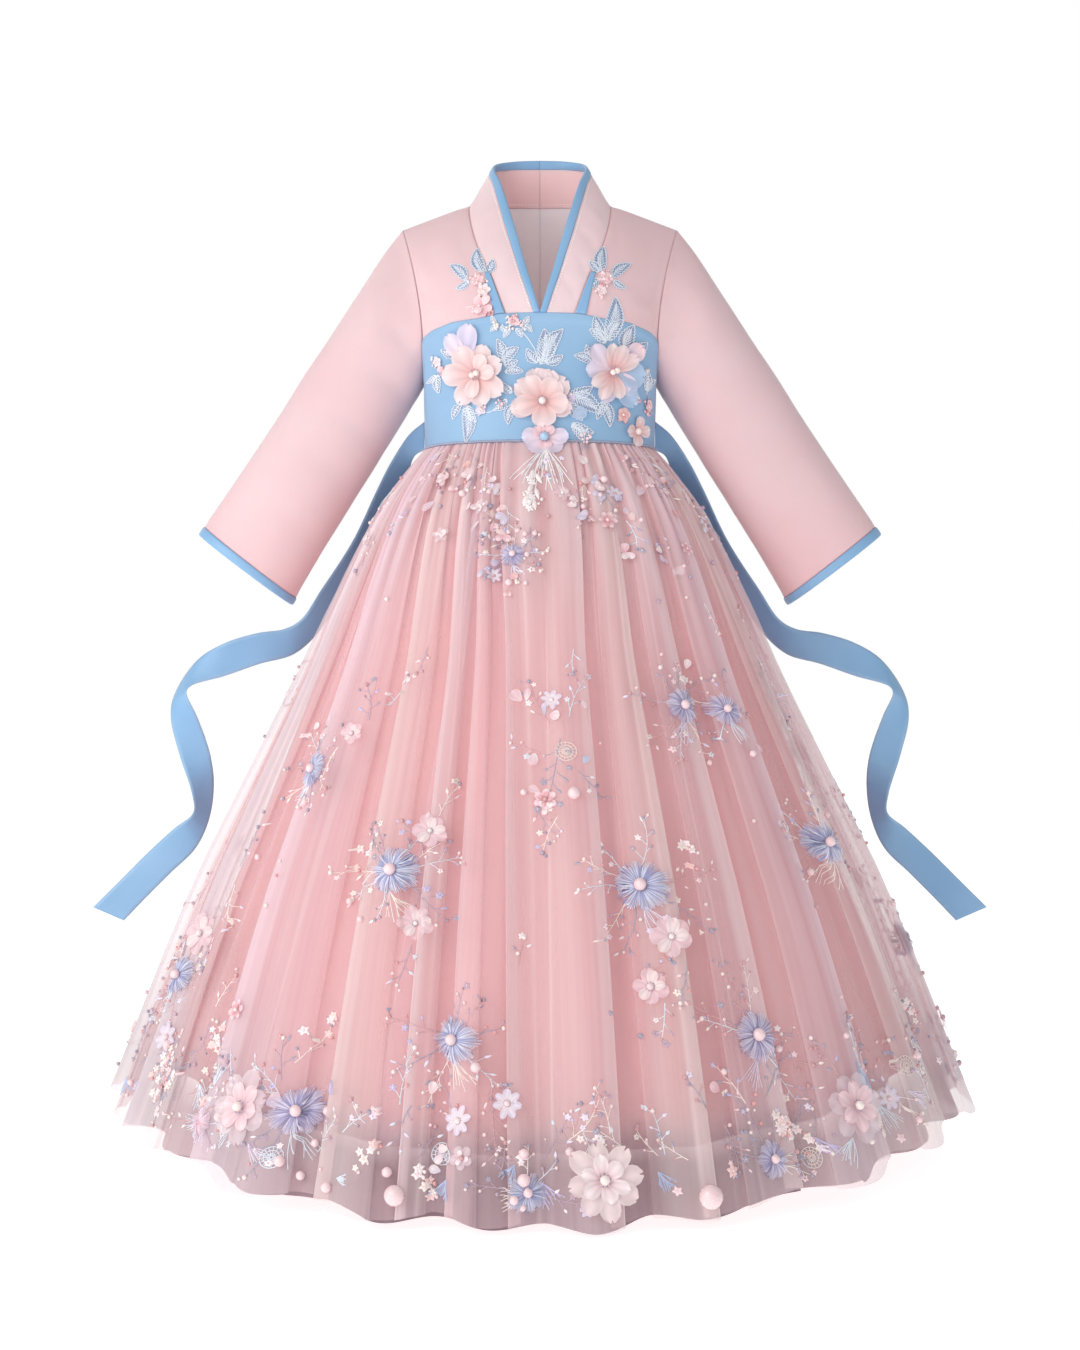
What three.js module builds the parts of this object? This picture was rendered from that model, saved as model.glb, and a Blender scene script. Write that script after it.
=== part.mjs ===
// A girl's hanfu-style dress, filled out as if worn and hollow all through.
// Millimetres, +Z up.  The front faces -Y and the wearer's left is +X.
// The origin lies between the two points where the neck meets the shoulders.
import * as THREE from 'three';

// ---------------------------------------------------------------- driving sizes
const GAP = 0.3;              // room left at every seam
const HALF_GAP = GAP / 2;
const BODICE_WALL = 1.6;
const BAND_WALL = 1.8;
const COLLAR_WALL = 2.0;
const BINDING_WALL = 2.6;     // folded over the edge that it covers
const BINDING_LIFT = 0.3;     // how far a binding stands out from its cloth
const TULLE_WALL = 1.2;
const LINING_WALL = 1.4;
const SASH_WALL = 1.6;
const STRAP_WALL = 1.0;

const NECK_X = 67;            // neck-shoulder point, from the middle
const SHOULDER_SLOPE = 0.385; // drop of the shoulder seam for each mm outward
const SHOULDER_SOFT = 10;     // rounding of that line at the neck
const SHOULDER_X = 130;       // shoulder tip
const SIDE_X = 109;           // half width at the side seams and the waist
const CHEST_Z = -136;         // where the chest band meets the armhole
const UNDERARM_Z = -170;
const WAIST_Z = -235;
const FRONT_DEEP = 86;        // middle of the body to the fullest front
const BACK_DEEP = 80;
const FILL_DROP = 140;        // drop below the shoulder where the body is full
const FILL_POWER = 0.8;
const SIDE_POWER = 2.5;       // roundness of the chest's sections
const WAIST_POWER = 2.3;
const WAIST_FRONT = 84;
const WAIST_BACK = 80;
const COLLAR_WIDE = 44;       // free edge to seam, binding included
const BINDING_WIDE = 8;
const CUFF_WIDE = 9;

// Half width that the chest's rounding runs out to, at each height.
const CHEST = [
  { z: -170, reach: 109 },
  { z: -160, reach: 112.5 },
  { z: -136, reach: 120 },
  { z: -90, reach: 131 },
  { z: -60, reach: 142 },
  { z: -25, reach: 150 },
];

// Top edge of the chest band in front, from the middle to the armhole.
const BAND_TOP = [
  { x: 0, z: -117.6 },
  { x: 37, z: -118.9 },
  { x: 55, z: -122.5 },
  { x: 81, z: -125 },
  { x: 101, z: -131 },
  { x: SIDE_X, z: CHEST_Z },
];
const BAND_TOP_BACK_Z = -130;

// The collar from its point in front to the middle of the back: the free edge
// at the neck, and the seam to the bodice.  Seam rows without y lie on the front.
const COLLAR = [
  { edgeX: HALF_GAP, edgeY: -86.5, edgeZ: -116.8, seamX: 31.4, seamZ: -118.0 },
  { edgeX: 6, edgeY: -81, edgeZ: -96, seamX: 39, seamZ: -97 },
  { edgeX: 11.7, edgeY: -72, edgeZ: -76, seamX: 46, seamZ: -78 },
  { edgeX: 20, edgeY: -57, edgeZ: -45, seamX: 57.5, seamZ: -51 },
  { edgeX: 29, edgeY: -37, edgeZ: -12, seamX: 64.5, seamZ: -25 },
  { edgeX: 37.5, edgeY: -13, edgeZ: 18, seamX: NECK_X, seamY: 0, seamZ: -1.9 },
  { edgeX: 44, edgeY: 12, edgeZ: 37, seamX: 64, seamY: 20, seamZ: 3 },
  { edgeX: 40, edgeY: 34, edgeZ: 47, seamX: 53, seamY: 40, seamZ: 6 },
  { edgeX: 23, edgeY: 47.5, edgeZ: 52.5, seamX: 29, seamY: 54.5, seamZ: 9 },
  { edgeX: HALF_GAP, edgeY: 51, edgeZ: 54, seamX: HALF_GAP, seamY: 60, seamZ: 10 },
];
const COLLAR_SHOULDER_ROW = 5;

// Middle of the back, from the collar seam down to the chest band.
const BACK_MIDDLE = [
  { y: 60, z: 10 },
  { y: 69, z: -18 },
  { y: 76, z: -55 },
  { y: 79, z: -95 },
  { y: 79, z: BAND_TOP_BACK_Z },
];

// Sleeve sections from the armhole to the cuff, as the sleeve hangs.
const SLEEVE = [
  { along: 0, topX: 130, topZ: -24.5, lowX: 109, lowZ: -170, deep: 47 },
  { along: 0.1, topX: 148, topZ: -48, lowX: 118, lowZ: -186, deep: 48 },
  { along: 0.3, topX: 185, topZ: -105, lowX: 141, lowZ: -223, deep: 47 },
  { along: 0.55, topX: 235, topZ: -183, lowX: 174, lowZ: -276, deep: 44 },
  { along: 0.8, topX: 285, topZ: -258, lowX: 208, lowZ: -332, deep: 42 },
  { along: 1, topX: 323, topZ: -314, lowX: 236, lowZ: -380, deep: 41 },
];

// The skirt's side and front profile, waist to hem.
const SKIRT = [
  { down: 0, wide: 109, deep: 84 },
  { down: 0.03, wide: 124, deep: 99 },
  { down: 0.09, wide: 151, deep: 127 },
  { down: 0.19, wide: 183, deep: 164 },
  { down: 0.33, wide: 221, deep: 207 },
  { down: 0.5, wide: 268, deep: 259 },
  { down: 0.72, wide: 325, deep: 322 },
  { down: 1, wide: 388, deep: 388 },
];
const SKIRT_WAIST_Z = WAIST_Z - GAP;
const HEM_Z = -857;
const HEM_DIP = 9;            // the hem hangs lower in front and behind than at the sides
const HEM_WAVE = 3;
const LINING_DOWN = 0.93;     // the lining stops short of the tulle
const FOLD_SWING = 0.2;       // the folds crowd to the sides at the waist, radians

// Folds of the skirt: angle of the crest from the front, and its height at the hem.
const FOLDS = [
  { crest: -178, rise: 10 },
  { crest: -160, rise: 12 },
  { crest: -141, rise: 9 },
  { crest: -122, rise: 12 },
  { crest: -104, rise: 10 },
  { crest: -86, rise: 9 },
  { crest: -68, rise: 12 },
  { crest: -53, rise: 9 },
  { crest: -37, rise: 12 },
  { crest: -19, rise: 11 },
  { crest: -6, rise: 8 },
  { crest: 7, rise: 11 },
  { crest: 20, rise: 10 },
  { crest: 41, rise: 12 },
  { crest: 56, rise: 10 },
  { crest: 72, rise: 12 },
  { crest: 89, rise: 9 },
  { crest: 107, rise: 11 },
  { crest: 125, rise: 12 },
  { crest: 144, rise: 9 },
  { crest: 163, rise: 11 },
];
const FOLD_TROUGH = 6;

// The tie on the wearer's right: its two edges from the side seam to the end.
const SASH = [
  { x1: 109.7, y1: 3, z1: -206, x2: 109.7, y2: 3, z2: -233 },
  { x1: 125, y1: 8, z1: -218, x2: 119, y2: 12, z2: -237 },
  { x1: 143, y1: 16, z1: -243, x2: 128, y2: 34, z2: -252 },
  { x1: 157, y1: 22, z1: -269, x2: 141, y2: 46, z2: -276 },
  { x1: 181, y1: 32, z1: -317, x2: 165, y2: 58, z2: -323 },
  { x1: 213, y1: 45, z1: -364, x2: 195, y2: 70, z2: -370 },
  { x1: 234, y1: 54, z1: -393, x2: 222, y2: 74, z2: -408 },
  { x1: 250, y1: 54, z1: -402, x2: 243, y2: 62, z2: -427 },
  { x1: 275, y1: 50, z1: -406, x2: 273, y2: 52, z2: -436 },
  { x1: 307, y1: 48, z1: -416, x2: 307, y2: 48, z2: -448 },
  { x1: 334, y1: 54, z1: -433, x2: 339, y2: 42, z2: -458 },
  { x1: 357, y1: 60, z1: -466, x2: 342, y2: 38, z2: -464 },
  { x1: 360, y1: 54, z1: -488, x2: 333, y2: 46, z2: -488 },
  { x1: 351, y1: 48, z1: -525, x2: 321, y2: 50, z2: -525 },
  { x1: 338, y1: 40, z1: -562, x2: 320, y2: 60, z2: -556 },
  { x1: 337, y1: 42, z1: -580, x2: 325, y2: 62, z2: -588 },
  { x1: 356, y1: 50, z1: -596, x2: 336, y2: 52, z2: -616 },
  { x1: 381, y1: 52, z1: -619, x2: 360, y2: 50, z2: -640 },
  { x1: 405, y1: 50, z1: -643, x2: 384, y2: 50, z2: -664 },
  { x1: 435, y1: 48, z1: -673, x2: 405, y2: 48, z2: -686 },
];

// Organza flowers on the chest band: where they sit, and their size.
const BAND_FLOWERS = [
  { name: 'flower_chest_right', x: -60, z: -172, radius: 29, rise: 7 },
  { name: 'flower_chest_middle', x: 1, z: -196, radius: 26, rise: 9 },
  { name: 'flower_chest_low', x: 4, z: -221, radius: 12.5, rise: 1 },
  { name: 'flower_chest_left', x: 67, z: -170, radius: 26, rise: 7 },
  { name: 'flower_waist_left', x: 84, z: -219, radius: 13, rise: 4 },
];
// Organza flowers on the skirt, each on the crest of a fold.
const SKIRT_FLOWERS = [
  { name: 'flower_hem_right', crest: -37, down: 0.9, radius: 30, rise: 9 },
  { name: 'flower_hem_middle', crest: 7, down: 0.945, radius: 28, rise: 9 },
  { name: 'flower_hem_left', crest: 41, down: 0.91, radius: 29, rise: 9 },
  { name: 'flower_skirt_side', crest: -68, down: 0.72, radius: 20, rise: 7 },
  { name: 'flower_skirt_upper', crest: -19, down: 0.545, radius: 17, rise: 6 },
  { name: 'flower_skirt_right', crest: -19, down: 0.665, radius: 17, rise: 6 },
  { name: 'flower_skirt_left', crest: 20, down: 0.68, radius: 19, rise: 6 },
];

// ---------------------------------------------------------------- materials
const cloth = (color, roughness) => new THREE.MeshStandardMaterial({ color, roughness, metalness: 0 });
const pinkSatin = cloth(0xf0cfd0, 0.6);
const blueOrganza = cloth(0x9fc3e2, 0.55);
const blueSatin = cloth(0x8db4da, 0.45);
const tulle = cloth(0xecc8cc, 0.8);
const tulleUnder = cloth(0xd9aeb4, 0.8);
const coralLining = cloth(0xe0a09c, 0.6);
const peachOrganza = cloth(0xf2b9a2, 0.5);

// ---------------------------------------------------------------- small helpers
const lerp = (a, b, t) => a + (b - a) * t;
const clamp01 = (t) => Math.min(1, Math.max(0, t));
const smooth = (t) => clamp01(t) ** 2 * (3 - 2 * clamp01(t));
const signedPower = (value, power) => Math.sign(value) * Math.abs(value) ** power;

// Looks up a column of a table at a place along another column.
function column(rows, along, name, at) {
  const last = rows.length - 1;
  let row = 0;
  while (row < last - 1 && rows[row + 1][along] < at) row += 1;
  const share = clamp01((at - rows[row][along]) / (rows[row + 1][along] - rows[row][along]));
  return lerp(rows[row][name], rows[row + 1][name], share);
}

// The same look-up along a smooth curve through the rows.
function smoothColumn(rows, along, name, at) {
  const last = rows.length - 1;
  let row = 0;
  while (row < last - 1 && rows[row + 1][along] < at) row += 1;
  const slope = (k) => {
    const before = rows[Math.max(0, k - 1)];
    const after = rows[Math.min(last, k + 1)];
    return (after[name] - before[name]) / (after[along] - before[along]);
  };
  const span = rows[row + 1][along] - rows[row][along];
  const t = clamp01((at - rows[row][along]) / span);
  const near = rows[row][name];
  const far = rows[row + 1][name];
  const ease = t * t * (3 - 2 * t);
  const leave = t * (1 - t) ** 2 * span * slope(row);
  const arrive = t * t * (t - 1) * span * slope(row + 1);
  return near + (far - near) * ease + leave + arrive;
}

// A smooth curve through points, as a function of 0..1.
function curveOf(points) {
  const curve = new THREE.CatmullRomCurve3(points, false, 'centripetal');
  return (share) => curve.getPoint(clamp01(share));
}

// Normal of a surface point(u, v), turned away from the place that inside(point) gives.
function normalOf(point, u, v, inside) {
  const step = 1e-3;
  const alongU = point(u + step, v).sub(point(u - step, v));
  const alongV = point(u, v + step).sub(point(u, v - step));
  const normal = alongU.cross(alongV).normalize();
  const away = point(u, v).sub(inside(point(u, v)));
  return normal.dot(away) < 0 ? normal.negate() : normal;
}

// Just off a panel's edge, where its normal can be measured.
const offEdge = (share, margin = 0.02) => Math.min(1 - margin, Math.max(margin, share));

// A wall of cloth.  point(u, v) is its outer face, us and vs are the grid's lines,
// lift moves it out and thick is the wall.  lean(u, v) may give another normal, and
// trim(spot) may hold a corner back from a neighbour.
function wall({
  point, us, vs, thick, inside, lift = 0, ring = false, lean = normalOf, trim = (spot) => spot,
}) {
  const columns = us.length;
  const rows = vs.length;
  const positions = [];
  for (const depth of [lift, lift - thick]) {
    for (const v of vs) {
      for (const u of us) {
        const normal = lean(point, u, v, inside);
        const spot = trim(point(u, v).addScaledVector(normal, depth));
        positions.push(spot.x, spot.y, spot.z);
      }
    }
  }
  const outer = (i, j) => j * columns + (i % columns);
  const inner = (i, j) => rows * columns + outer(i, j);
  const faces = [];
  const quad = (a, b, c, d) => faces.push(a, b, c, a, c, d);
  const spans = ring ? columns : columns - 1;
  for (let i = 0; i < spans; i += 1) {
    for (let j = 0; j < rows - 1; j += 1) {
      quad(outer(i, j), outer(i, j + 1), outer(i + 1, j + 1), outer(i + 1, j));
      quad(inner(i, j), inner(i + 1, j), inner(i + 1, j + 1), inner(i, j + 1));
    }
    quad(outer(i, 0), outer(i + 1, 0), inner(i + 1, 0), inner(i, 0));
    const end = rows - 1;
    quad(outer(i, end), inner(i, end), inner(i + 1, end), outer(i + 1, end));
  }
  if (!ring) {
    const side = columns - 1;
    for (let j = 0; j < rows - 1; j += 1) {
      quad(outer(0, j), inner(0, j), inner(0, j + 1), outer(0, j + 1));
      quad(outer(side, j), outer(side, j + 1), inner(side, j + 1), inner(side, j));
    }
  }
  return solidFrom(positions, faces);
}

// The place on a wall's outer facets at u, v: what is sewn on a panel starts there.
function onFacets({ point, us, vs, ring }, u, v) {
  const cell = (lines, at) => {
    let k = 0;
    while (k < lines.length - 2 && lines[k + 1] < at) k += 1;
    return k;
  };
  const [i, j] = [cell(ring ? [...us, us[0] + 1] : us, u), cell(vs, v)];
  const nextU = i + 1 < us.length ? us[i + 1] : us[0] + 1;
  const share = (u - us[i]) / (nextU - us[i]);
  const down = (v - vs[j]) / (vs[j + 1] - vs[j]);
  const [near, far] = [point(us[i], vs[j]), point(nextU, vs[j + 1])];
  if (share < down) {
    const corner = point(us[i], vs[j + 1]);
    return near.multiplyScalar(1 - down).addScaledVector(corner, down - share).addScaledVector(far, share);
  }
  const corner = point(nextU, vs[j]);
  return near.multiplyScalar(1 - share).addScaledVector(corner, share - down).addScaledVector(far, down);
}

// Six times the volume inside a set of faces; it is negative if they point inward.
function signedVolume(positions, faces) {
  const corner = (k) => new THREE.Vector3(...positions.slice(3 * k, 3 * k + 3));
  let sum = 0;
  for (let f = 0; f < faces.length; f += 3) {
    const [a, b, c] = [corner(faces[f]), corner(faces[f + 1]), corner(faces[f + 2])];
    sum += a.dot(b.cross(c));
  }
  return sum;
}

function solidFrom(positions, faces) {
  const turned = signedVolume(positions, faces) < 0 ? faces.slice().reverse() : faces;
  const geometry = new THREE.BufferGeometry();
  geometry.setAttribute('position', new THREE.Float32BufferAttribute(positions, 3));
  geometry.setIndex(turned);
  geometry.computeVertexNormals();
  return geometry;
}

const steps = (from, to, count) => Array.from({ length: count + 1 }, (_, k) => lerp(from, to, k / count));

const dress = new THREE.Group();
function add(name, geometry, material) {
  const mesh = new THREE.Mesh(geometry, material.clone());
  mesh.name = name;
  dress.add(mesh);
  return mesh;
}

// Keeps a half of the dress on its own side of the middle.
const besideMiddle = (sign) => (spot) => spot.setX(sign * Math.max(HALF_GAP, sign * spot.x));

// The wearer's two sides: the right one lies at -X.
const SIDES = [{ side: 'right', sign: -1 }, { side: 'left', sign: 1 }];
const mirrored = (point, sign) => (u, v) => point(u, v).multiply(new THREE.Vector3(sign, 1, 1));

// ---------------------------------------------------------------- the body's form
const bodyMiddle = (p) => new THREE.Vector3(0, 0, Math.min(p.z, CHEST_Z));

// Height of the shoulder seam above each x.
function shoulderZ(x) {
  const out = Math.abs(x) - NECK_X;
  return -SHOULDER_SLOPE * 0.5 * (out + Math.hypot(out, SHOULDER_SOFT));
}

// How far the body stands forward (or back) of the middle at a place x, z.
function bodyDeep(x, z, deep) {
  const drop = Math.max(0, shoulderZ(x) - z);
  const fill = (1 - (1 - Math.min(drop, FILL_DROP) / FILL_DROP) ** 2) ** FILL_POWER;
  const reach = column(CHEST, 'z', 'reach', z);
  const round = Math.max(0, 1 - Math.abs(x / reach) ** SIDE_POWER) ** (1 / SIDE_POWER);
  return deep * fill * round;
}
const frontY = (x, z) => -bodyDeep(x, z, FRONT_DEEP);
const backY = (x, z) => bodyDeep(x, z, BACK_DEEP);

// The armhole leans inward from the shoulder tip to the chest band.
function armholeX(z) {
  const share = clamp01((z - CHEST_Z) / (shoulderZ(SHOULDER_X) - CHEST_Z));
  return SIDE_X + (SHOULDER_X - SIDE_X) * share ** 1.6;
}

const bandTopZ = (x) => column(BAND_TOP, 'x', 'z', Math.abs(x));

// ---------------------------------------------------------------- collar
const seamCurve = curveOf(COLLAR.map((row) => {
  const y = row.seamY === undefined ? frontY(row.seamX, row.seamZ) : row.seamY;
  return new THREE.Vector3(row.seamX, y, row.seamZ);
}));
const edgeCurve = curveOf(COLLAR.map((row) => new THREE.Vector3(row.edgeX, row.edgeY, row.edgeZ)));
const COLLAR_LAST = COLLAR.length - 1;
const SHOULDER_SHARE = COLLAR_SHOULDER_ROW / COLLAR_LAST;
const COLLAR_BOW = 2.5;       // the band swells a little between its edges

// s runs from the point in front to the middle of the back, t from edge to seam.
function collarPoint(s, t) {
  const along = clamp01(s);
  const edge = edgeCurve(along);
  const seam = seamCurve(along);
  const spot = edge.clone().lerp(seam, t);
  const out = seam.clone().sub(SEAM_MIDDLE).normalize();
  const swell = COLLAR_BOW * Math.sin(Math.PI * clamp01(t)) * smooth(along * 4) * smooth((1 - along) * 4);
  return spot.addScaledVector(out, swell);
}
// Both pieces that share the collar seam lean this way there.
const SEAM_MIDDLE = new THREE.Vector3(0, 0, -80);
const seamNormal = (p) => p.clone().sub(SEAM_MIDDLE).normalize();

function collarNormal(point, u, v, inside) {
  const own = normalOf(point, offEdge(u), v, inside);
  const shared = seamNormal(point(u, 1));
  return own.lerp(shared, smooth((v - 0.35) / 0.65)).normalize();
}
const collarInside = () => new THREE.Vector3(0, -10, -100);

for (const { side, sign } of SIDES) {
  const point = mirrored(collarPoint, sign);
  const stations = steps(0, 1, COLLAR_LAST);
  add(`collar_${side}`, wall({
    point,
    us: stations,
    vs: [(BINDING_WIDE + GAP) / COLLAR_WIDE, 0.42, 0.72, 1],
    thick: COLLAR_WALL,
    inside: collarInside,
    lean: collarNormal,
    trim: besideMiddle(sign),
  }), pinkSatin);
  add(`neck_binding_${side}`, wall({
    point,
    us: stations,
    vs: [0, BINDING_WIDE / COLLAR_WIDE],
    thick: BINDING_WALL,
    lift: BINDING_LIFT,
    inside: collarInside,
    lean: collarNormal,
    trim: besideMiddle(sign),
  }), blueSatin);
}

// ---------------------------------------------------------------- bodice fronts and backs
// Blends a four-sided patch from its edges; each edge is a function of 0..1.
function patch({ left, right, top, bottom }) {
  const corners = [top(0), top(1), bottom(0), bottom(1)];
  return (u, v) => {
    const across = left(v).clone().lerp(right(v), u);
    const down = top(u).clone().lerp(bottom(u), v);
    const flat = corners[0].clone().lerp(corners[1], u).lerp(corners[2].clone().lerp(corners[3], u), v);
    return across.add(down).sub(flat);
  };
}

const FRONT_ROWS = COLLAR_SHOULDER_ROW;
const FRONT_COLUMNS = 6;
const FRONT_FOOT_X = COLLAR[0].seamX + GAP;
const armholePoint = (z, yOf) => new THREE.Vector3(armholeX(z), yOf(armholeX(z), z), z);

function frontPatch() {
  const left = (v) => {
    const spot = seamCurve(SHOULDER_SHARE * (1 - v));
    return spot.add(new THREE.Vector3(GAP, 0, GAP * v));
  };
  const right = (v) => {
    const z = lerp(shoulderZ(SHOULDER_X), CHEST_Z + GAP, v);
    return armholePoint(z, frontY);
  };
  const top = (u) => {
    const x = lerp(NECK_X + GAP, SHOULDER_X, u);
    return new THREE.Vector3(x, 0, shoulderZ(x));
  };
  const bottom = (u) => {
    const x = lerp(FRONT_FOOT_X, SIDE_X, u);
    return new THREE.Vector3(x, frontY(x, bandTopZ(x)), bandTopZ(x) + GAP);
  };
  const flat = patch({ left, right, top, bottom });
  return (u, v) => {
    const spot = flat(u, v);
    const inner = smooth(u * 6);
    spot.y = lerp(spot.y, frontY(spot.x, spot.z), inner) - HALF_GAP;
    return spot;
  };
}

const backMiddle = curveOf(BACK_MIDDLE.map((row) => new THREE.Vector3(HALF_GAP, row.y, row.z)));
const NECK_COLUMNS = COLLAR_LAST - COLLAR_SHOULDER_ROW;
const SHOULDER_COLUMNS = 3;
const BACK_COLUMNS = NECK_COLUMNS + SHOULDER_COLUMNS;
const NECK_SHARE = NECK_COLUMNS / BACK_COLUMNS;

function backPatch() {
  const top = (u) => {
    if (u <= NECK_SHARE) {
      const spot = seamCurve(lerp(1, SHOULDER_SHARE, u / NECK_SHARE));
      const out = new THREE.Vector3(spot.x, spot.y, 0).normalize();
      return spot.addScaledVector(out, GAP);
    }
    const x = lerp(NECK_X + GAP, SHOULDER_X, (u - NECK_SHARE) / (1 - NECK_SHARE));
    return new THREE.Vector3(x, 0, shoulderZ(x));
  };
  const left = (v) => backMiddle(v).add(new THREE.Vector3(0, GAP * (1 - v), GAP * v));
  const right = (v) => armholePoint(lerp(shoulderZ(SHOULDER_X), CHEST_Z + GAP, v), backY);
  const bottom = (u) => {
    const x = lerp(HALF_GAP, SIDE_X, u);
    const z = lerp(BAND_TOP_BACK_Z, CHEST_Z, u ** 2);
    return new THREE.Vector3(x, backY(x, z), z + GAP);
  };
  const form = patch({ left, right, top, bottom });
  return (u, v) => form(u, v).add(new THREE.Vector3(0, HALF_GAP, 0));
}

// Near the collar seam and the shoulder seam both neighbours share one normal.
function bodiceNormal(nearCollar, nearShoulder) {
  return (point, u, v, inside) => {
    const own = normalOf(point, offEdge(u), offEdge(v), inside);
    const spot = point(u, v);
    own.lerp(seamNormal(spot), nearCollar(u, v));
    const upright = new THREE.Vector3(Math.sign(spot.x) * SHOULDER_SLOPE, 0, 1).normalize();
    own.lerp(upright, nearShoulder(u, v));
    own.z *= 1 - smooth((v - 0.6) / 0.4);
    return own.normalize();
  };
}
const frontLean = bodiceNormal(
  (u) => 1 - smooth(u * 3),
  (u, v) => smooth(u * 4) * (1 - smooth(v * 3)),
);
const backLean = bodiceNormal(
  (u, v) => (1 - smooth(v * 3)) * (1 - smooth((u - NECK_SHARE) * 6)),
  (u, v) => (1 - smooth(v * 3)) * smooth((u - NECK_SHARE) * 6),
);

const STRAP_TOP = 0.55;       // share of the collar seam's height where the strap starts
const STRAP_NARROW = 3;       // its width there, and at the chest band
const STRAP_WIDE = 10;
const STRAP_BED = 0.25;       // slack between the strap and the cloth under it

for (const { side, sign } of SIDES) {
  const front = mirrored(frontPatch(), sign);
  add(`bodice_front_${side}`, wall({
    point: front,
    us: steps(0, 1, FRONT_COLUMNS),
    vs: steps(0, 1, FRONT_ROWS),
    thick: BODICE_WALL,
    inside: bodyMiddle,
    lean: frontLean,
  }), pinkSatin);
  const back = mirrored(backPatch(), sign);
  add(`bodice_back_${side}`, wall({
    point: back,
    us: steps(0, 1, BACK_COLUMNS),
    vs: steps(0, 1, 6),
    thick: BODICE_WALL,
    inside: bodyMiddle,
    lean: backLean,
  }), pinkSatin);

  const strapPoint = (u, v) => {
    const frontWide = SIDE_X - FRONT_FOOT_X;
    const wide = lerp(STRAP_NARROW, STRAP_WIDE, v);
    return front((GAP + u * wide) / frontWide, lerp(STRAP_TOP, 1, v));
  };
  add(`collar_strap_${side}`, wall({
    point: strapPoint,
    us: [0, 1],
    vs: steps(0, 1, 4),
    thick: STRAP_WALL,
    lift: GAP + STRAP_WALL + STRAP_BED,
    inside: bodyMiddle,
  }), blueSatin);
}

// ---------------------------------------------------------------- chest band
const ARMHOLE_SHARE = 0.8;    // past this share of the width the band borders the armhole

// Half of the waist: share 0 is the middle of the front or back, 1 the side seam.
function waistPoint(share, deep) {
  const angle = share * Math.PI / 2;
  const power = 2 / WAIST_POWER;
  return new THREE.Vector3(
    SIDE_X * signedPower(Math.sin(angle), power),
    deep * signedPower(Math.cos(angle), power),
    WAIST_Z,
  );
}

// Top edge of the band; yOf is the body's form and topOf the height of the edge.
function bandEdge(share, yOf, topOf) {
  const size = Math.abs(share);
  const edge = new THREE.Vector3();
  if (size <= ARMHOLE_SHARE) {
    const x = SIDE_X * size / ARMHOLE_SHARE;
    edge.set(x, yOf(x, topOf(x)), topOf(x));
  } else {
    const z = lerp(CHEST_Z, UNDERARM_Z, (size - ARMHOLE_SHARE) / (1 - ARMHOLE_SHARE));
    edge.set(SIDE_X, yOf(SIDE_X, z), z);
  }
  return edge;
}

function bandPoint(face) {
  const yOf = face < 0 ? frontY : backY;
  const topOf = face < 0 ? bandTopZ : (x) => lerp(BAND_TOP_BACK_Z, CHEST_Z, (x / SIDE_X) ** 2);
  const deep = face < 0 ? -WAIST_FRONT : WAIST_BACK;
  return (u, v) => {
    const size = Math.min(1, Math.abs(u));
    const edge = bandEdge(size, yOf, topOf);
    const spot = edge.lerp(waistPoint(size, deep), v);
    spot.x *= u < 0 ? -1 : 1;
    spot.y += face * HALF_GAP;
    return spot;
  };
}
const bandNormal = (point, u, v, inside) => {
  const along = Math.sign(u) * Math.min(0.97, Math.abs(u));
  const normal = normalOf(point, along, offEdge(v), inside);
  const sideways = new THREE.Vector3(Math.sign(u), 0, 0);
  normal.lerp(sideways, smooth((Math.abs(u) - 0.9) / 0.1));
  return normal.setZ(0).normalize();
};

// The band's grid lines meet those of the bodice above it.
const armholeShares = [0.87, 0.94, 1];
const footShare = ARMHOLE_SHARE * FRONT_FOOT_X / SIDE_X;
const frontShares = [0, 0.12, ...steps(footShare, ARMHOLE_SHARE, FRONT_COLUMNS), ...armholeShares];
const backShares = [...steps(0, ARMHOLE_SHARE, BACK_COLUMNS), ...armholeShares];
const bandRows = [0, 0.35, 0.7, 1];
const bandFront = bandPoint(-1);
const bandSolid = {
  point: bandFront,
  us: [...frontShares.slice(1).reverse().map((share) => -share), ...frontShares],
  vs: bandRows,
  thick: BAND_WALL,
  inside: bodyMiddle,
  lean: bandNormal,
};
add('chest_band_front', wall(bandSolid), blueOrganza);

for (const { side, sign } of SIDES) {
  const back = bandPoint(1);
  const half = (u, v) => {
    const spot = back(u, v);
    return spot.setX(spot.x * sign);
  };
  add(`chest_band_back_${side}`, wall({
    point: half,
    us: backShares,
    vs: bandRows,
    thick: BAND_WALL,
    inside: bodyMiddle,
    lean: (point, u, v, inside) => bandNormal(bandPoint(1), Math.max(u, 0.03), v, inside)
      .multiply(new THREE.Vector3(sign, 1, 1)),
    trim: besideMiddle(sign),
  }), blueOrganza);
}

// ---------------------------------------------------------------- sleeves and cuffs
const ARMHOLE_MIDDLE_Z = (shoulderZ(SHOULDER_X) + UNDERARM_Z) / 2;
const ARMHOLE_HALF = (shoulderZ(SHOULDER_X) - UNDERARM_Z) / 2;
const CAP_SHARE = 0.22;       // length over which the armhole's shape turns round
const SLEEVE_POWER = 0.94;

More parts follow.
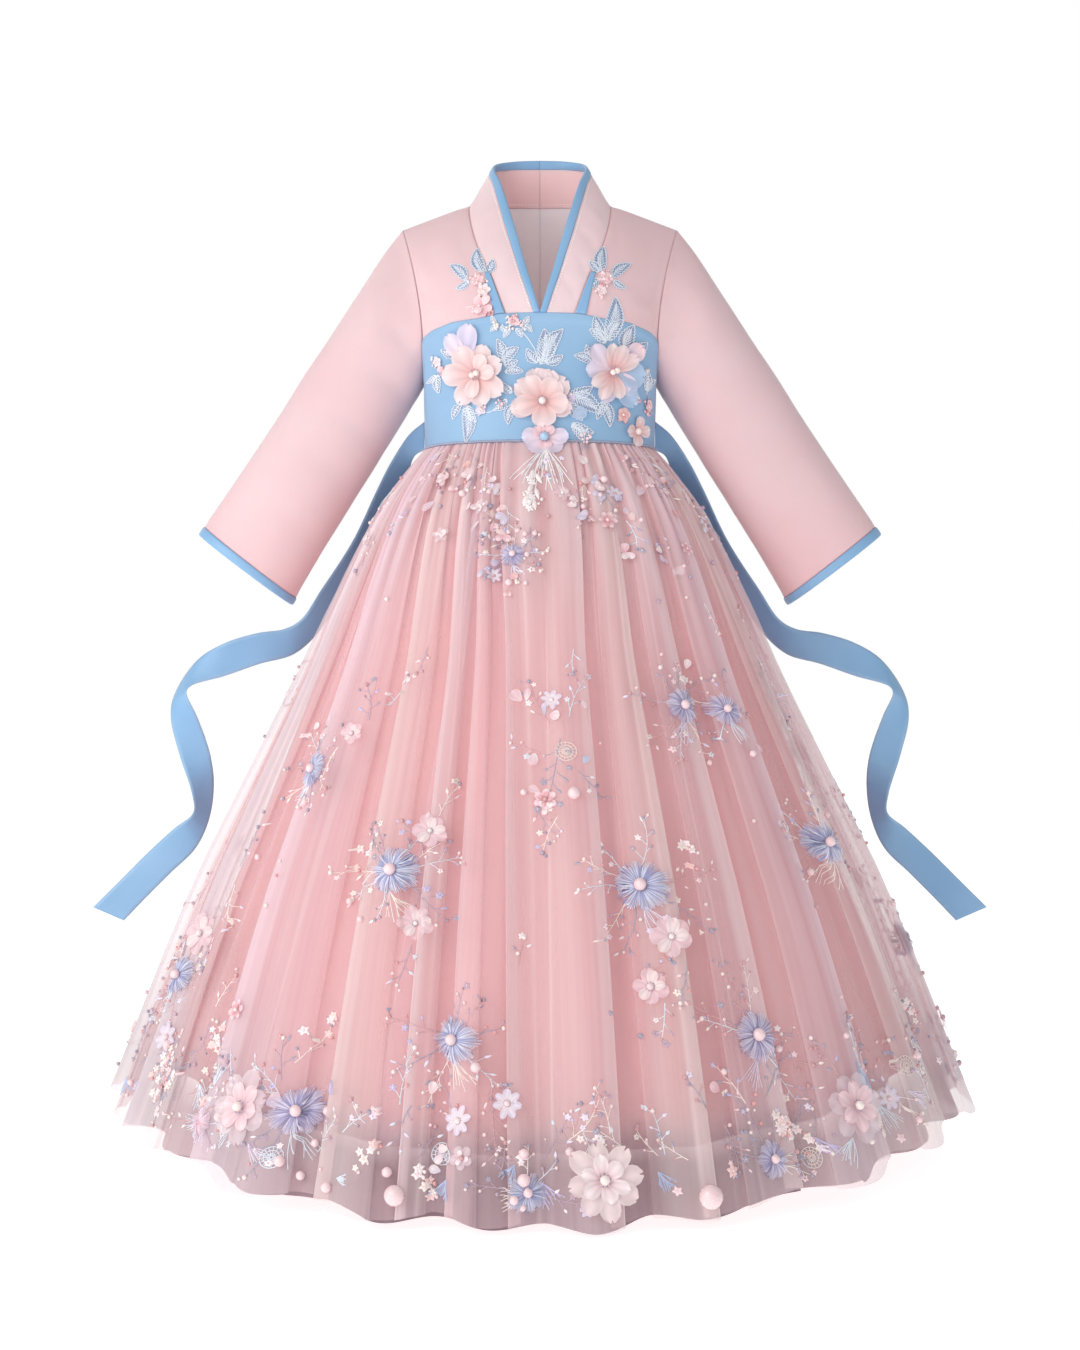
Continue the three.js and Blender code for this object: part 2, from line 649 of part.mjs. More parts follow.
// turn goes round from the top, through the front, the underarm and the back.
function sleevePoint(turn, along) {
  const angle = turn * Math.PI * 2;
  const up = Math.cos(angle);
  const share = (name) => smoothColumn(SLEEVE, 'along', name, along);
  const top = new THREE.Vector3(share('topX'), 0, share('topZ'));
  const low = new THREE.Vector3(share('lowX'), 0, share('lowZ'));
  const round = low.clone().lerp(top, 0.5 + 0.5 * signedPower(up, SLEEVE_POWER));
  round.y = -share('deep') * signedPower(Math.sin(angle), SLEEVE_POWER);
  const z = ARMHOLE_MIDDLE_Z + ARMHOLE_HALF * up;
  const yOf = Math.sin(angle) > 0 ? frontY : backY;
  const hole = new THREE.Vector3(armholeX(z) + GAP, yOf(armholeX(z), z), z);
  top.sub(new THREE.Vector3(SLEEVE[0].topX, 0, SLEEVE[0].topZ));
  low.sub(new THREE.Vector3(SLEEVE[0].lowX, 0, SLEEVE[0].lowZ));
  const straight = top.lerp(low, (1 - up) / 2);
  return hole.add(straight).lerp(round, smooth(along / CAP_SHARE));
}
// At the armhole the wall's thickness stays in the armhole's own plane.
const ARMHOLE_BLEND = 0.12;
function sleeveNormal(point, u, v) {
  const acrossMiddle = (spot) => point(u + 0.5, v).lerp(spot, 0.5);
  const own = normalOf(point, u, offEdge(v, 0.005), acrossMiddle);
  const spot = point(u, v);
  const flat = new THREE.Vector3(0, spot.y, spot.z - ARMHOLE_MIDDLE_Z).normalize();
  return own.lerp(flat, 1 - smooth(v / ARMHOLE_BLEND)).normalize();
}

const SLEEVE_LONG = 345;      // armhole to cuff along the sleeve
const CUFF_START = 1 - CUFF_WIDE / SLEEVE_LONG;
const SLEEVE_COLUMNS = 16;
const turns = Array.from({ length: SLEEVE_COLUMNS }, (_, k) => k / SLEEVE_COLUMNS);
for (const { side, sign } of SIDES) {
  const point = mirrored(sleevePoint, sign);
  add(`sleeve_${side}`, wall({
    point,
    us: turns,
    vs: [0, 0.07, 0.2, 0.4, 0.6, 0.8, CUFF_START - GAP / SLEEVE_LONG],
    thick: BODICE_WALL,
    ring: true,
    lean: sleeveNormal,
  }), pinkSatin);
  add(`cuff_binding_${side}`, wall({
    point,
    us: turns,
    vs: [CUFF_START, 1],
    thick: BINDING_WALL,
    lift: BINDING_LIFT,
    ring: true,
    lean: sleeveNormal,
  }), blueSatin);
}

// ---------------------------------------------------------------- skirt
const degrees = (angle) => angle * Math.PI / 180;

// Height of the folds at an angle: a crest for each row, a trough halfway between.
function foldHeight(angle) {
  const first = FOLDS[0].crest;
  const wrapped = ((angle - first) % 360 + 360) % 360 + first;
  let before = FOLDS.length - 1;
  for (let k = 0; k < FOLDS.length; k += 1) {
    if (FOLDS[k].crest <= wrapped) before = k;
  }
  const here = FOLDS[before];
  const next = before + 1 < FOLDS.length ? FOLDS[before + 1] : FOLDS[0];
  const nextCrest = before + 1 < FOLDS.length ? next.crest : next.crest + 360;
  const share = (wrapped - here.crest) / (nextCrest - here.crest);
  const rise = share < 0.5 ? here.rise : next.rise;
  const wave = 0.5 + 0.5 * Math.cos(2 * Math.PI * share);
  return wave * rise - (1 - wave) * FOLD_TROUGH;
}

// One layer of the skirt.  inset(down) is how far it lies inside the outer tulle,
// and fold(down) is the share of the folds that it follows.
function skirtPoint(inset, fold, hemZ) {
  return (u, down) => {
    const hemAngle = u * 2 * Math.PI;
    const angle = hemAngle + FOLD_SWING * (1 - down) ** 2 * Math.sin(2 * hemAngle);
    const heightOf = foldHeight(u * 360);
    const wave = heightOf * fold(down) * smooth(down * 1.15 + 0.02);
    const slant = smooth(down * 12) * 0.5;
    const wide = smoothColumn(SKIRT, 'down', 'wide', down) - inset(down) + wave;
    const deep = smoothColumn(SKIRT, 'down', 'deep', down) - inset(down) + wave;
    const dip = HEM_DIP * Math.cos(2 * angle) + HEM_WAVE * heightOf / FOLD_TROUGH * fold(down) * 0.5;
    const z = lerp(SKIRT_WAIST_Z, hemZ, down) - dip * down - inset(down) * slant * (1 - down);
    const sharp = lerp(2 / WAIST_POWER, 1, smooth(down * 3));
    const x = wide * signedPower(Math.sin(angle), sharp);
    const y = deep * signedPower(Math.cos(angle), sharp);
    return new THREE.Vector3(x, -y, z);
  };
}
const skirtInside = (p) => new THREE.Vector3(0, 0, p.z - 40);
const skirtNormal = (form) => (point, u, v, inside) => {
  return normalOf(form, u, offEdge(v, 0.01), inside);
};

// Grid lines of the folds: each crest, each trough and, if asked, the flanks.
function foldLines(withFlanks) {
  const lines = [];
  FOLDS.forEach((fold, k) => {
    const next = k + 1 < FOLDS.length ? FOLDS[k + 1].crest : FOLDS[0].crest + 360;
    const parts = withFlanks ? 4 : 2;
    for (let part = 0; part < parts; part += 1) {
      lines.push(lerp(fold.crest, next, part / parts) / 360);
    }
  });
  return lines;
}

const SKIRT_ROWS = [0, 0.03, 0.09, 0.19, 0.35, 0.55, 0.78, 1];
const tulleForm = skirtPoint(() => 0, () => 1, HEM_Z);
const tulleSmooth = skirtPoint(() => 0, () => 0, HEM_Z);
const tulleSolid = {
  point: tulleForm,
  us: foldLines(true),
  vs: SKIRT_ROWS,
  thick: TULLE_WALL,
  inside: skirtInside,
  ring: true,
  lean: skirtNormal(tulleSmooth),
};
add('skirt_tulle_outer', wall(tulleSolid), tulle);

const underInset = (down) => TULLE_WALL + 0.5 + 5 * smooth(down * 1.4);
add('skirt_tulle_under', wall({
  point: skirtPoint(underInset, () => 0.95, HEM_Z - 4),
  us: foldLines(false),
  vs: SKIRT_ROWS,
  thick: TULLE_WALL,
  inside: skirtInside,
  ring: true,
  lean: skirtNormal(tulleSmooth),
}), tulleUnder);

const liningInset = (down) => 2 * TULLE_WALL + 1.6 + 21 * smooth(down * 1.5);
add('skirt_lining', wall({
  point: skirtPoint(liningInset, () => 0.35, HEM_Z),
  us: foldLines(false),
  vs: [0, 0.03, 0.09, 0.19, 0.35, 0.6, LINING_DOWN],
  thick: LINING_WALL,
  inside: skirtInside,
  ring: true,
  lean: skirtNormal(tulleSmooth),
}), coralLining);

// ---------------------------------------------------------------- ties
const SASH_STEPS = 32;
const sashCorner = (row, k) => new THREE.Vector3(row[`x${k}`], row[`y${k}`], row[`z${k}`]);
const sashEdge = (k) => curveOf(SASH.map((row) => sashCorner(row, k)));
const sashEdges = [sashEdge(1), sashEdge(2)];
function sashPoint(u, v) {
  const along = clamp01(v);
  return sashEdges[0](along).lerp(sashEdges[1](along), u);
}
// Normals along the tie, turned so that each agrees with the one before it.
function sashNormals(point, stations) {
  const normals = new Map();
  let before = null;
  for (const v of stations) {
    const safe = offEdge(v, 0.002);
    const across = point(1, safe).sub(point(0, safe));
    const along = point(0.5, safe + 0.002).sub(point(0.5, safe - 0.002));
    const normal = across.cross(along).normalize();
    if (before && before.dot(normal) < 0) normal.negate();
    normals.set(v, normal);
    before = normal;
  }
  return normals;
}

for (const { side, sign } of SIDES) {
  const stations = steps(0, 1, SASH_STEPS);
  const point = mirrored(sashPoint, sign);
  const normals = sashNormals(point, stations);
  add(`sash_${side}`, wall({
    point,
    us: [0, 1],
    vs: stations,
    thick: SASH_WALL,
    lift: SASH_WALL / 2,
    lean: (surface, u, v) => normals.get(v).clone(),
  }), blueSatin);
}

// ---------------------------------------------------------------- organza flowers
const PETAL_POINTS = 10;
const PETAL_THICK = 1.6;
const FLOWER_SEAT = 4;        // radius that is sewn down
const FLOWER_LIFT = 0.5;

// A shallow cup with a scalloped rim, sewn down at its middle.
function flower(centre, normal, radius, rise) {
  const helper = Math.abs(normal.z) < 0.9 ? new THREE.Vector3(0, 0, 1) : new THREE.Vector3(1, 0, 0);
  const across = helper.clone().cross(normal).normalize();
  const upward = normal.clone().cross(across);
  const positions = [];
  const place = (r, angle, height) => {
    const spot = centre.clone()
      .addScaledVector(across, r * Math.cos(angle))
      .addScaledVector(upward, r * Math.sin(angle))
      .addScaledVector(normal, height);
    positions.push(spot.x, spot.y, spot.z);
  };
  for (const thick of [PETAL_THICK, 0]) {
    place(0, 0, FLOWER_LIFT + thick * 1.6);
    for (let k = 0; k < PETAL_POINTS; k += 1) {
      place(FLOWER_SEAT, k / PETAL_POINTS * 2 * Math.PI, FLOWER_LIFT + thick);
    }
    for (let k = 0; k < PETAL_POINTS; k += 1) {
      const scallop = k % 2 ? 0.84 : 1;
      place(radius * scallop, k / PETAL_POINTS * 2 * Math.PI, FLOWER_LIFT + rise * scallop + thick * 0.7);
    }
  }
  const faces = [];
  const side = 1 + 2 * PETAL_POINTS;
  for (let k = 0; k < PETAL_POINTS; k += 1) {
    const next = (k + 1) % PETAL_POINTS;
    const seat = [1 + k, 1 + next];
    const rim = [1 + PETAL_POINTS + k, 1 + PETAL_POINTS + next];
    faces.push(0, seat[0], seat[1]);
    faces.push(seat[0], rim[0], rim[1], seat[0], rim[1], seat[1]);
    faces.push(side, side + seat[1], side + seat[0]);
    faces.push(side + seat[0], side + rim[1], side + rim[0], side + seat[0], side + seat[1], side + rim[1]);
    faces.push(rim[0], side + rim[0], side + rim[1], rim[0], side + rim[1], rim[1]);
  }
  return solidFrom(positions, faces);
}

const BAND_HIGH = 110;        // about the band's height, to walk on it in shares
const BAND_HALF = 140;        // about half its width along the cloth
for (const row of BAND_FLOWERS) {
  // Walk the band's own surface to the place above x, z.
  let u = row.x / SIDE_X * ARMHOLE_SHARE;
  let v = 0.5;
  for (let turn = 0; turn < 30; turn += 1) {
    const spot = bandFront(u, v);
    u += (row.x - spot.x) / BAND_HALF;
    v += (spot.z - row.z) / BAND_HIGH;
  }
  const normal = bandNormal(bandFront, u, v, bodyMiddle);
  add(row.name, flower(onFacets(bandSolid, u, v), normal, row.radius, row.rise), peachOrganza);
}
for (const row of SKIRT_FLOWERS) {
  const u = row.crest / 360;
  const normal = skirtNormal(tulleSmooth)(tulleForm, u, row.down, skirtInside);
  add(row.name, flower(onFacets(tulleSolid, u, row.down), normal, row.radius, row.rise), peachOrganza);
}

export default dress;
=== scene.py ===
# A girl's hanfu-style dress: the looks of its cloth, tulle, ties and sewn-on flowers.
# Forms are worked out in millimetres and written to the meshes in metres.
import math

import bpy
import numpy as np
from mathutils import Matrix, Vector
from mathutils.bvhtree import BVHTree


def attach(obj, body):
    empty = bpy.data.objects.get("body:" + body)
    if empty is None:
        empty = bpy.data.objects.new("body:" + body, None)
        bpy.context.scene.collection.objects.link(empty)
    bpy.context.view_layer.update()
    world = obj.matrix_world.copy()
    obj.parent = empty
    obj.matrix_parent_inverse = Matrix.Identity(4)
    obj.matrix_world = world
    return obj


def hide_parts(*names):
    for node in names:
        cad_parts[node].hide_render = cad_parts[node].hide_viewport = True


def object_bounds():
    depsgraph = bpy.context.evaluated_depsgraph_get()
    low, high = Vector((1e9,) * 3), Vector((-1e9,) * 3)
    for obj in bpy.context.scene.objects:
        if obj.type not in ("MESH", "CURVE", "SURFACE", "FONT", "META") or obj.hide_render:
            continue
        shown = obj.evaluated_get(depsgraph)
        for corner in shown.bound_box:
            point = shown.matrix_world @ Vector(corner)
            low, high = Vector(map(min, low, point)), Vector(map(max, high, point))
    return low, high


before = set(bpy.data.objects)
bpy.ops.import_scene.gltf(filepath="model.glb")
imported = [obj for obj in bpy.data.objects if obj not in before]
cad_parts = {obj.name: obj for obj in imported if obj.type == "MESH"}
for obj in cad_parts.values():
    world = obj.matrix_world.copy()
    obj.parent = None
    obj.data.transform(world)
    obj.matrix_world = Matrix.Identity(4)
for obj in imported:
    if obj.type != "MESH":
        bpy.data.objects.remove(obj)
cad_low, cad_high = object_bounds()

MM = 0.001

# ------------------------------------------------------------ driving sizes, in mm
GAP = 0.3
HALF_GAP = GAP / 2
NECK_X = 67
SHOULDER_SLOPE = 0.385
SHOULDER_SOFT = 10
SHOULDER_X = 130
SIDE_X = 109
CHEST_Z = -136
UNDERARM_Z = -170
WAIST_Z = -235
FRONT_DEEP = 86
BACK_DEEP = 80
FILL_DROP = 140
FILL_POWER = 0.8
SIDE_POWER = 2.5
WAIST_POWER = 2.3
WAIST_FRONT = 84
WAIST_BACK = 80
COLLAR_WIDE = 44
# Width of the strap beside the collar at its top and foot, and how far it stands off the bodice.
STRAP_WIDE, STRAP_RISE = (5, 10), 1.3
BINDING_WIDE = 8
CUFF_WIDE = 9
SLEEVE_LONG = 345
# Seams: how far the cloth turns in, over what width, how much past half the gap it reaches, and
# how far from a seam the creases start.
SEAM_TURN, SEAM_WIDE, SEAM_REACH, SEAM_CALM = 0.4, 1.0, 1.4, 8
# How round a sleeve's section is, and the share along it where the armhole's form ends.
SLEEVE_ROUND, SLEEVE_BLEND = 0.94, 0.22
HEM_Z = -857
# The hem hangs this much lower in front and behind, and as much higher at the sides.
FRONT_DIP = 9
# How much the lowest part of the skirt rises at the sides besides.
SIDE_RISE = 19
# Twice what the crest of a fold as high as FOLD_TROUGH drops by.
FOLD_DIP = 3
LINING_DOWN = 0.93

# Height and half width of the chest's rounding.
CHEST = ((-170, 109), (-160, 112.5), (-136, 120), (-90, 131), (-60, 142), (-25, 150))
# Top edge of the chest band in front, from the middle to the armhole: x and z.
BAND_TOP = ((0, -117.6), (37, -118.9), (55, -122.5), (81, -125), (101, -131), (109, -136))
BAND_TOP_BACK_Z = -130
# The collar from its point in front to the middle of the back: free edge, then seam.
# A seam row without a y lies on the front of the body.
COLLAR = (
    ((0.15, -86.5, -116.8), (31.4, None, -118.0)),
    ((6, -81, -96), (39, None, -97)),
    ((11.7, -72, -76), (46, None, -78)),
    ((20, -57, -45), (57.5, None, -51)),
    ((29, -37, -12), (64.5, None, -25)),
    ((37.5, -13, 18), (67, 0, -1.9)),
    ((44, 12, 37), (64, 20, 3)),
    ((40, 34, 47), (53, 40, 6)),
    ((23, 47.5, 52.5), (29, 54.5, 9)),
    ((0.15, 51, 54), (0.15, 60, 10)),
)
# Share along the collar's seam where the shoulder seam meets it.
SHOULDER_SHARE = 5 / 9
# How far the collar swells out between its edges.
COLLAR_SWELL = 2.5
# Middle of the back, from the collar seam down to the chest band: y and z.
BACK_MIDDLE = ((60, 10), (69, -18), (76, -55), (79, -95), (79, -130))
# Sleeve sections: share along, top x and z, underarm x and z, half depth.
SLEEVE = (
    (0, 130, -24.5, 109, -170, 47),
    (0.1, 148, -48, 118, -186, 48),
    (0.3, 185, -105, 141, -223, 47),
    (0.55, 235, -183, 174, -276, 44),
    (0.8, 285, -258, 208, -332, 42),
    (1, 323, -314, 236, -380, 41),
)
# Skirt profile: share down, half width, half depth.
SKIRT = (
    (0, 109, 84), (0.03, 124, 99), (0.09, 151, 127), (0.19, 183, 164),
    (0.33, 221, 207), (0.5, 268, 259), (0.72, 325, 322), (1, 388, 388),
)
# Large folds of the skirt: degrees of the crest from the front, and its height.
FOLDS = (
    (-178, 10), (-160, 12), (-141, 9), (-122, 12), (-104, 10), (-86, 9), (-68, 12),
    (-53, 9), (-37, 12), (-19, 11), (-6, 8), (7, 11), (20, 10), (41, 12), (56, 10),
    (72, 12), (89, 9), (107, 11), (125, 12), (144, 9), (163, 11),
)
FOLD_TROUGH = 6
# How much the folds lean from the waist down, in radians, and how steeply the skirt leaves it.
FOLD_LEAN, WAIST_SLANT = 0.2, 0.5
# The tie on the wearer's right: its two edges from the side seam to the end.
TIE = (
    ((109.7, 3, -206), (109.7, 3, -233)), ((125, 8, -218), (119, 12, -237)),
    ((143, 16, -243), (128, 34, -252)), ((157, 22, -269), (141, 46, -276)),
    ((181, 32, -317), (165, 58, -323)), ((213, 45, -364), (195, 70, -370)),
    ((234, 54, -393), (222, 74, -408)), ((250, 54, -402), (243, 62, -427)),
    ((275, 50, -406), (273, 52, -436)), ((307, 48, -416), (307, 48, -448)),
    ((334, 54, -433), (339, 42, -458)), ((357, 60, -466), (342, 38, -464)),
    ((360, 54, -488), (333, 46, -488)), ((351, 48, -525), (321, 50, -525)),
    ((338, 40, -562), (320, 60, -556)), ((337, 42, -580), (325, 62, -588)),
    ((356, 50, -596), (336, 52, -616)), ((381, 52, -619), (360, 50, -640)),
    ((405, 50, -643), (384, 50, -664)), ((435, 48, -673), (405, 48, -686)),
)
SIDES = (("right", -1), ("left", 1))


# ------------------------------------------------------------ small helpers
def lerp(a, b, t):
    return a + (b - a) * t


def clamp01(t):
    return np.clip(t, 0, 1)


def smooth(t):
    t = clamp01(t)
    return t * t * (3 - 2 * t)


def signed_power(value, power):
    return np.sign(value) * np.abs(value) ** power


def spot(x, y, z):
    """Points from three arrays or numbers that go together."""
    return np.stack(np.broadcast_arrays(x, y, z), -1).astype(float)


def unit(vectors):
    return vectors / np.maximum(np.linalg.norm(vectors, axis=-1, keepdims=True), 1e-9)


def column(rows, at):
    """Looks up a table along straight lines between its rows."""
    return np.interp(at, *np.array(rows, float).T)


def smooth_column(rows, at, value):
    """Looks up a table along a smooth curve through its rows."""
    table = np.array(rows, float)
    keys, values = table[:, 0], table[:, value]
    last = len(keys) - 1
    before = np.maximum(np.arange(last + 1) - 1, 0)
    after = np.minimum(np.arange(last + 1) + 1, last)
    slopes = (values[after] - values[before]) / (keys[after] - keys[before])
    at = np.asarray(at, float)
    row = np.clip(np.searchsorted(keys, at, side="right") - 1, 0, last - 1)
    span = keys[row + 1] - keys[row]
    t = clamp01((at - keys[row]) / span)
    ease = t * t * (3 - 2 * t)
    leave = t * (1 - t) ** 2 * span * slopes[row]
    arrive = t * t * (t - 1) * span * slopes[row + 1]
    return values[row] + (values[row + 1] - values[row]) * ease + leave + arrive


def curve_through(points):
    """A smooth curve through points, as a function of shares from 0 to 1."""
    points = np.array(points, float)
    full = np.vstack([2 * points[0] - points[1], points, 2 * points[-1] - points[-2]])
    gaps = np.sqrt(np.linalg.norm(np.diff(full, axis=0), axis=1))

    def at(share):
        place = clamp01(np.asarray(share, float)) * (len(points) - 1)
        k = np.minimum(place.astype(int), len(points) - 2)
        w = (place - k)[..., None]
        x0, x1, x2, x3 = (full[k + n] for n in range(4))
        d0, d1, d2 = (gaps[k + n][..., None] for n in range(3))
        leave = ((x1 - x0) / d0 - (x2 - x0) / (d0 + d1) + (x2 - x1) / d1) * d1
        arrive = ((x2 - x1) / d1 - (x3 - x1) / (d1 + d2) + (x3 - x2) / d2) * d1
        bend = -3 * x1 + 3 * x2 - 2 * leave - arrive
        return x1 + w * leave + w**2 * bend + w**3 * (2 * x1 - 2 * x2 + leave + arrive)

    return at


# ------------------------------------------------------------ the body's form
def shoulder_z(x):
    out = np.abs(x) - NECK_X
    return -SHOULDER_SLOPE * 0.5 * (out + np.hypot(out, SHOULDER_SOFT))


def body_deep(x, z, deep):
    drop = np.maximum(0, shoulder_z(x) - z)
    fill = (1 - (1 - np.minimum(drop, FILL_DROP) / FILL_DROP) ** 2) ** FILL_POWER
    rounding = np.maximum(0, 1 - np.abs(x / column(CHEST, z)) ** SIDE_POWER) ** (1 / SIDE_POWER)
    return deep * fill * rounding


def front_y(x, z):
    return -body_deep(x, z, FRONT_DEEP)


def back_y(x, z):
    return body_deep(x, z, BACK_DEEP)


def armhole_x(z):
    share = clamp01((z - CHEST_Z) / (shoulder_z(SHOULDER_X) - CHEST_Z))
    return SIDE_X + (SHOULDER_X - SIDE_X) * share**1.6


def shoulder_point(x):
    return spot(x, 0, shoulder_z(x))


def armhole_point(z, y_of):
    return spot(armhole_x(z), y_of(armhole_x(z), z), z)


def band_top_z(x):
    return column(BAND_TOP, np.abs(x))


def band_top_back_z(x):
    return lerp(BAND_TOP_BACK_Z, CHEST_Z, (x / SIDE_X) ** 2)


# The collar swells away from here.
SEAM_MIDDLE = np.array((0, 0, -80.0))
seam_curve = curve_through([
    (x, front_y(x, z) if y is None else y, z) for _, (x, y, z) in COLLAR
])
edge_curve = curve_through([edge for edge, _ in COLLAR])


def collar_point(s, t):
    """s runs from the point in front to the middle of the back, t from edge to seam."""
    s, t = np.broadcast_arrays(s, t)
    edge, seam = edge_curve(s), seam_curve(s)
    swell = COLLAR_SWELL * np.sin(np.pi * clamp01(t)) * smooth(s * 4) * smooth((1 - s) * 4)
    return lerp(edge, seam, t[..., None]) + unit(seam - SEAM_MIDDLE) * swell[..., None]


def patch(left, right, top, bottom, u, v):
    """A four-sided patch blended from its edges."""
    u, v = np.broadcast_arrays(u, v)
    uu, vv = u[..., None], v[..., None]
    zero, one = np.zeros_like(u), np.ones_like(u)
    across = lerp(left(v), right(v), uu)
    down = lerp(top(u), bottom(u), vv)
    return across + down - lerp(lerp(top(zero), top(one), uu), lerp(bottom(zero), bottom(one), uu), vv)


FRONT_FOOT_X = COLLAR[0][1][0] + GAP


def front_point(u, v):
    shoulder = shoulder_z(SHOULDER_X)
    place = patch(
        lambda t: seam_curve(SHOULDER_SHARE * (1 - t)) + spot(GAP, 0, GAP * t),
        lambda t: armhole_point(lerp(shoulder, CHEST_Z + GAP, t), front_y),
        lambda t: shoulder_point(lerp(NECK_X + GAP, SHOULDER_X, t)),
        lambda t: front_foot(lerp(FRONT_FOOT_X, SIDE_X, t)),
        u, v,
    )
    inner = smooth(u * 6)
    place[..., 1] = lerp(place[..., 1], front_y(place[..., 0], place[..., 2]), inner) - HALF_GAP
    return place


def front_foot(x):
    return spot(x, front_y(x, band_top_z(x)), band_top_z(x) + GAP)


back_middle = curve_through([(HALF_GAP, y, z) for y, z in BACK_MIDDLE])
# Share of the back's top edge that lies along the neck.
NECK_SHARE = 4 / 7


def back_top(u):
    seam = seam_curve(lerp(1, SHOULDER_SHARE, clamp01(u / NECK_SHARE)))
    flat = seam * (1, 1, 0)
    x = lerp(NECK_X + GAP, SHOULDER_X, clamp01((u - NECK_SHARE) / (1 - NECK_SHARE)))
    along_neck = (u <= NECK_SHARE)[..., None]
    return np.where(along_neck, seam + unit(flat) * GAP, shoulder_point(x))


def back_foot(x):
    z = band_top_back_z(x)
    return spot(x, back_y(x, z), z + GAP)


def back_point(u, v):
    shoulder = shoulder_z(SHOULDER_X)
    place = patch(
        lambda t: back_middle(t) + spot(0, GAP * (1 - t), GAP * t),
        lambda t: armhole_point(lerp(shoulder, CHEST_Z + GAP, t), back_y),
        back_top,
        lambda t: back_foot(lerp(HALF_GAP, SIDE_X, t)),
        u, v,
    )
    return place + (0, HALF_GAP, 0)


# Share of half the chest band, from the middle, where the armhole begins.
ARMHOLE_SHARE = 0.8


def waist_point(share, deep):
    angle = share * np.pi / 2
    power = 2 / WAIST_POWER
    x, y = SIDE_X * signed_power(np.sin(angle), power), deep * signed_power(np.cos(angle), power)
    return spot(x, y, WAIST_Z)


def band_point(face):
    """Half of the chest band, in front with face -1 and behind with 1."""
    y_of, top_of, deep = (
        (front_y, band_top_z, -WAIST_FRONT) if face < 0 else (back_y, band_top_back_z, WAIST_BACK)
    )

    def at(u, v):
        u, v = np.broadcast_arrays(u, v)
        size = clamp01(np.abs(u))
        x = SIDE_X * np.minimum(1, size / ARMHOLE_SHARE)
        beside = clamp01((size - ARMHOLE_SHARE) / (1 - ARMHOLE_SHARE))
        z = np.where(size <= ARMHOLE_SHARE, top_of(x), lerp(CHEST_Z, UNDERARM_Z, beside))
        place = lerp(spot(x, y_of(x, z), z), waist_point(size, deep), v[..., None])
        place[..., 0] *= np.where(u < 0, -1, 1)
        place[..., 1] += face * HALF_GAP
        return place

    return at


ARMHOLE_MIDDLE_Z = (shoulder_z(SHOULDER_X) + UNDERARM_Z) / 2
ARMHOLE_HALF = (shoulder_z(SHOULDER_X) - UNDERARM_Z) / 2


def sleeve_point(turn, along):
    """turn goes round from the top, through the front, the underarm and the back."""
    turn, along = np.broadcast_arrays(turn, along)
    angle = turn * 2 * np.pi
    up, side = np.cos(angle), np.sin(angle)
    top_x, top_z, low_x, low_z, deep = (smooth_column(SLEEVE, along, k) for k in range(1, 6))
    top, low = spot(top_x, 0, top_z), spot(low_x, 0, low_z)
    tube = lerp(low, top, (0.5 + 0.5 * signed_power(up, SLEEVE_ROUND))[..., None])
    tube[..., 1] = -deep * signed_power(side, SLEEVE_ROUND)
    z = ARMHOLE_MIDDLE_Z + ARMHOLE_HALF * up
    x = armhole_x(z)
    hole = spot(x + GAP, np.where(side > 0, front_y(x, z), back_y(x, z)), z)
    _, start_x, start_z, end_x, end_z, _ = SLEEVE[0]
    moved = lerp(top - (start_x, 0, start_z), low - (end_x, 0, end_z), ((1 - up) / 2)[..., None])
    return lerp(hole + moved, tube, smooth(along / SLEEVE_BLEND)[..., None])


def fold_table():
    """Height of the large folds at every tenth of a degree, from -180."""
    crests = [FOLDS[-1][0] - 360, *(row[0] for row in FOLDS), FOLDS[0][0] + 360]
    rises = [FOLDS[-1][1], *(row[1] for row in FOLDS), FOLDS[0][1]]
    angles = np.linspace(-180, 180, 3601)
    before = np.clip(np.searchsorted(crests, angles, side="right") - 1, 0, len(crests) - 2)
    crests, rises = np.array(crests, float), np.array(rises, float)
    share = (angles - crests[before]) / (crests[before + 1] - crests[before])
    rise = np.where(share < 0.5, rises[before], rises[before + 1])
    wave = 0.5 + 0.5 * np.cos(2 * np.pi * share)
    return angles, wave * rise - (1 - wave) * FOLD_TROUGH


FOLD_ANGLES, FOLD_HEIGHTS = fold_table()


def fold_height(degrees):
    return np.interp((degrees + 180) % 360 - 180, FOLD_ANGLES, FOLD_HEIGHTS)


def skirt_point(degrees, down, inset=0, fold=1, hem_z=HEM_Z, wave=None, line=None):
    """A place on a layer of the skirt: inset lies inside the outer tulle, fold is its share of the
    large folds.  line gives the hem degrees of each fold where the layer has its own way up."""
    degrees, down = np.broadcast_arrays(degrees, down)
    angle = np.radians(degrees)
    if line is None:
        line = degrees
        angle = angle + FOLD_LEAN * (1 - down) ** 2 * np.sin(2 * angle)
    height = fold_height(line)
    lift = height * fold * smooth(down * 1.15 + 0.02) + (0 if wave is None else wave)
    slant = smooth(down * 12) * WAIST_SLANT
    wide = smooth_column(SKIRT, down, 1) - inset + lift
    deep = smooth_column(SKIRT, down, 2) - inset + lift
    dip = FRONT_DIP * np.cos(2 * angle) + FOLD_DIP * height / FOLD_TROUGH * fold / 2
    dip = dip - SIDE_RISE * np.sin(angle) ** 2 * down**3
    z = lerp(WAIST_Z - GAP, hem_z, down) - dip * down - inset * slant * (1 - down)
    sharp = lerp(2 / WAIST_POWER, 1, smooth(down * 3))
    x, y = wide * signed_power(np.sin(angle), sharp), -deep * signed_power(np.cos(angle), sharp)
    return spot(x, y, z)


tie_edges = [curve_through([row[k] for row in TIE]) for k in (0, 1)]


def tie_point(u, v):
    u, v = np.broadcast_arrays(u, v)
    return lerp(tie_edges[0](v), tie_edges[1](v), u[..., None])


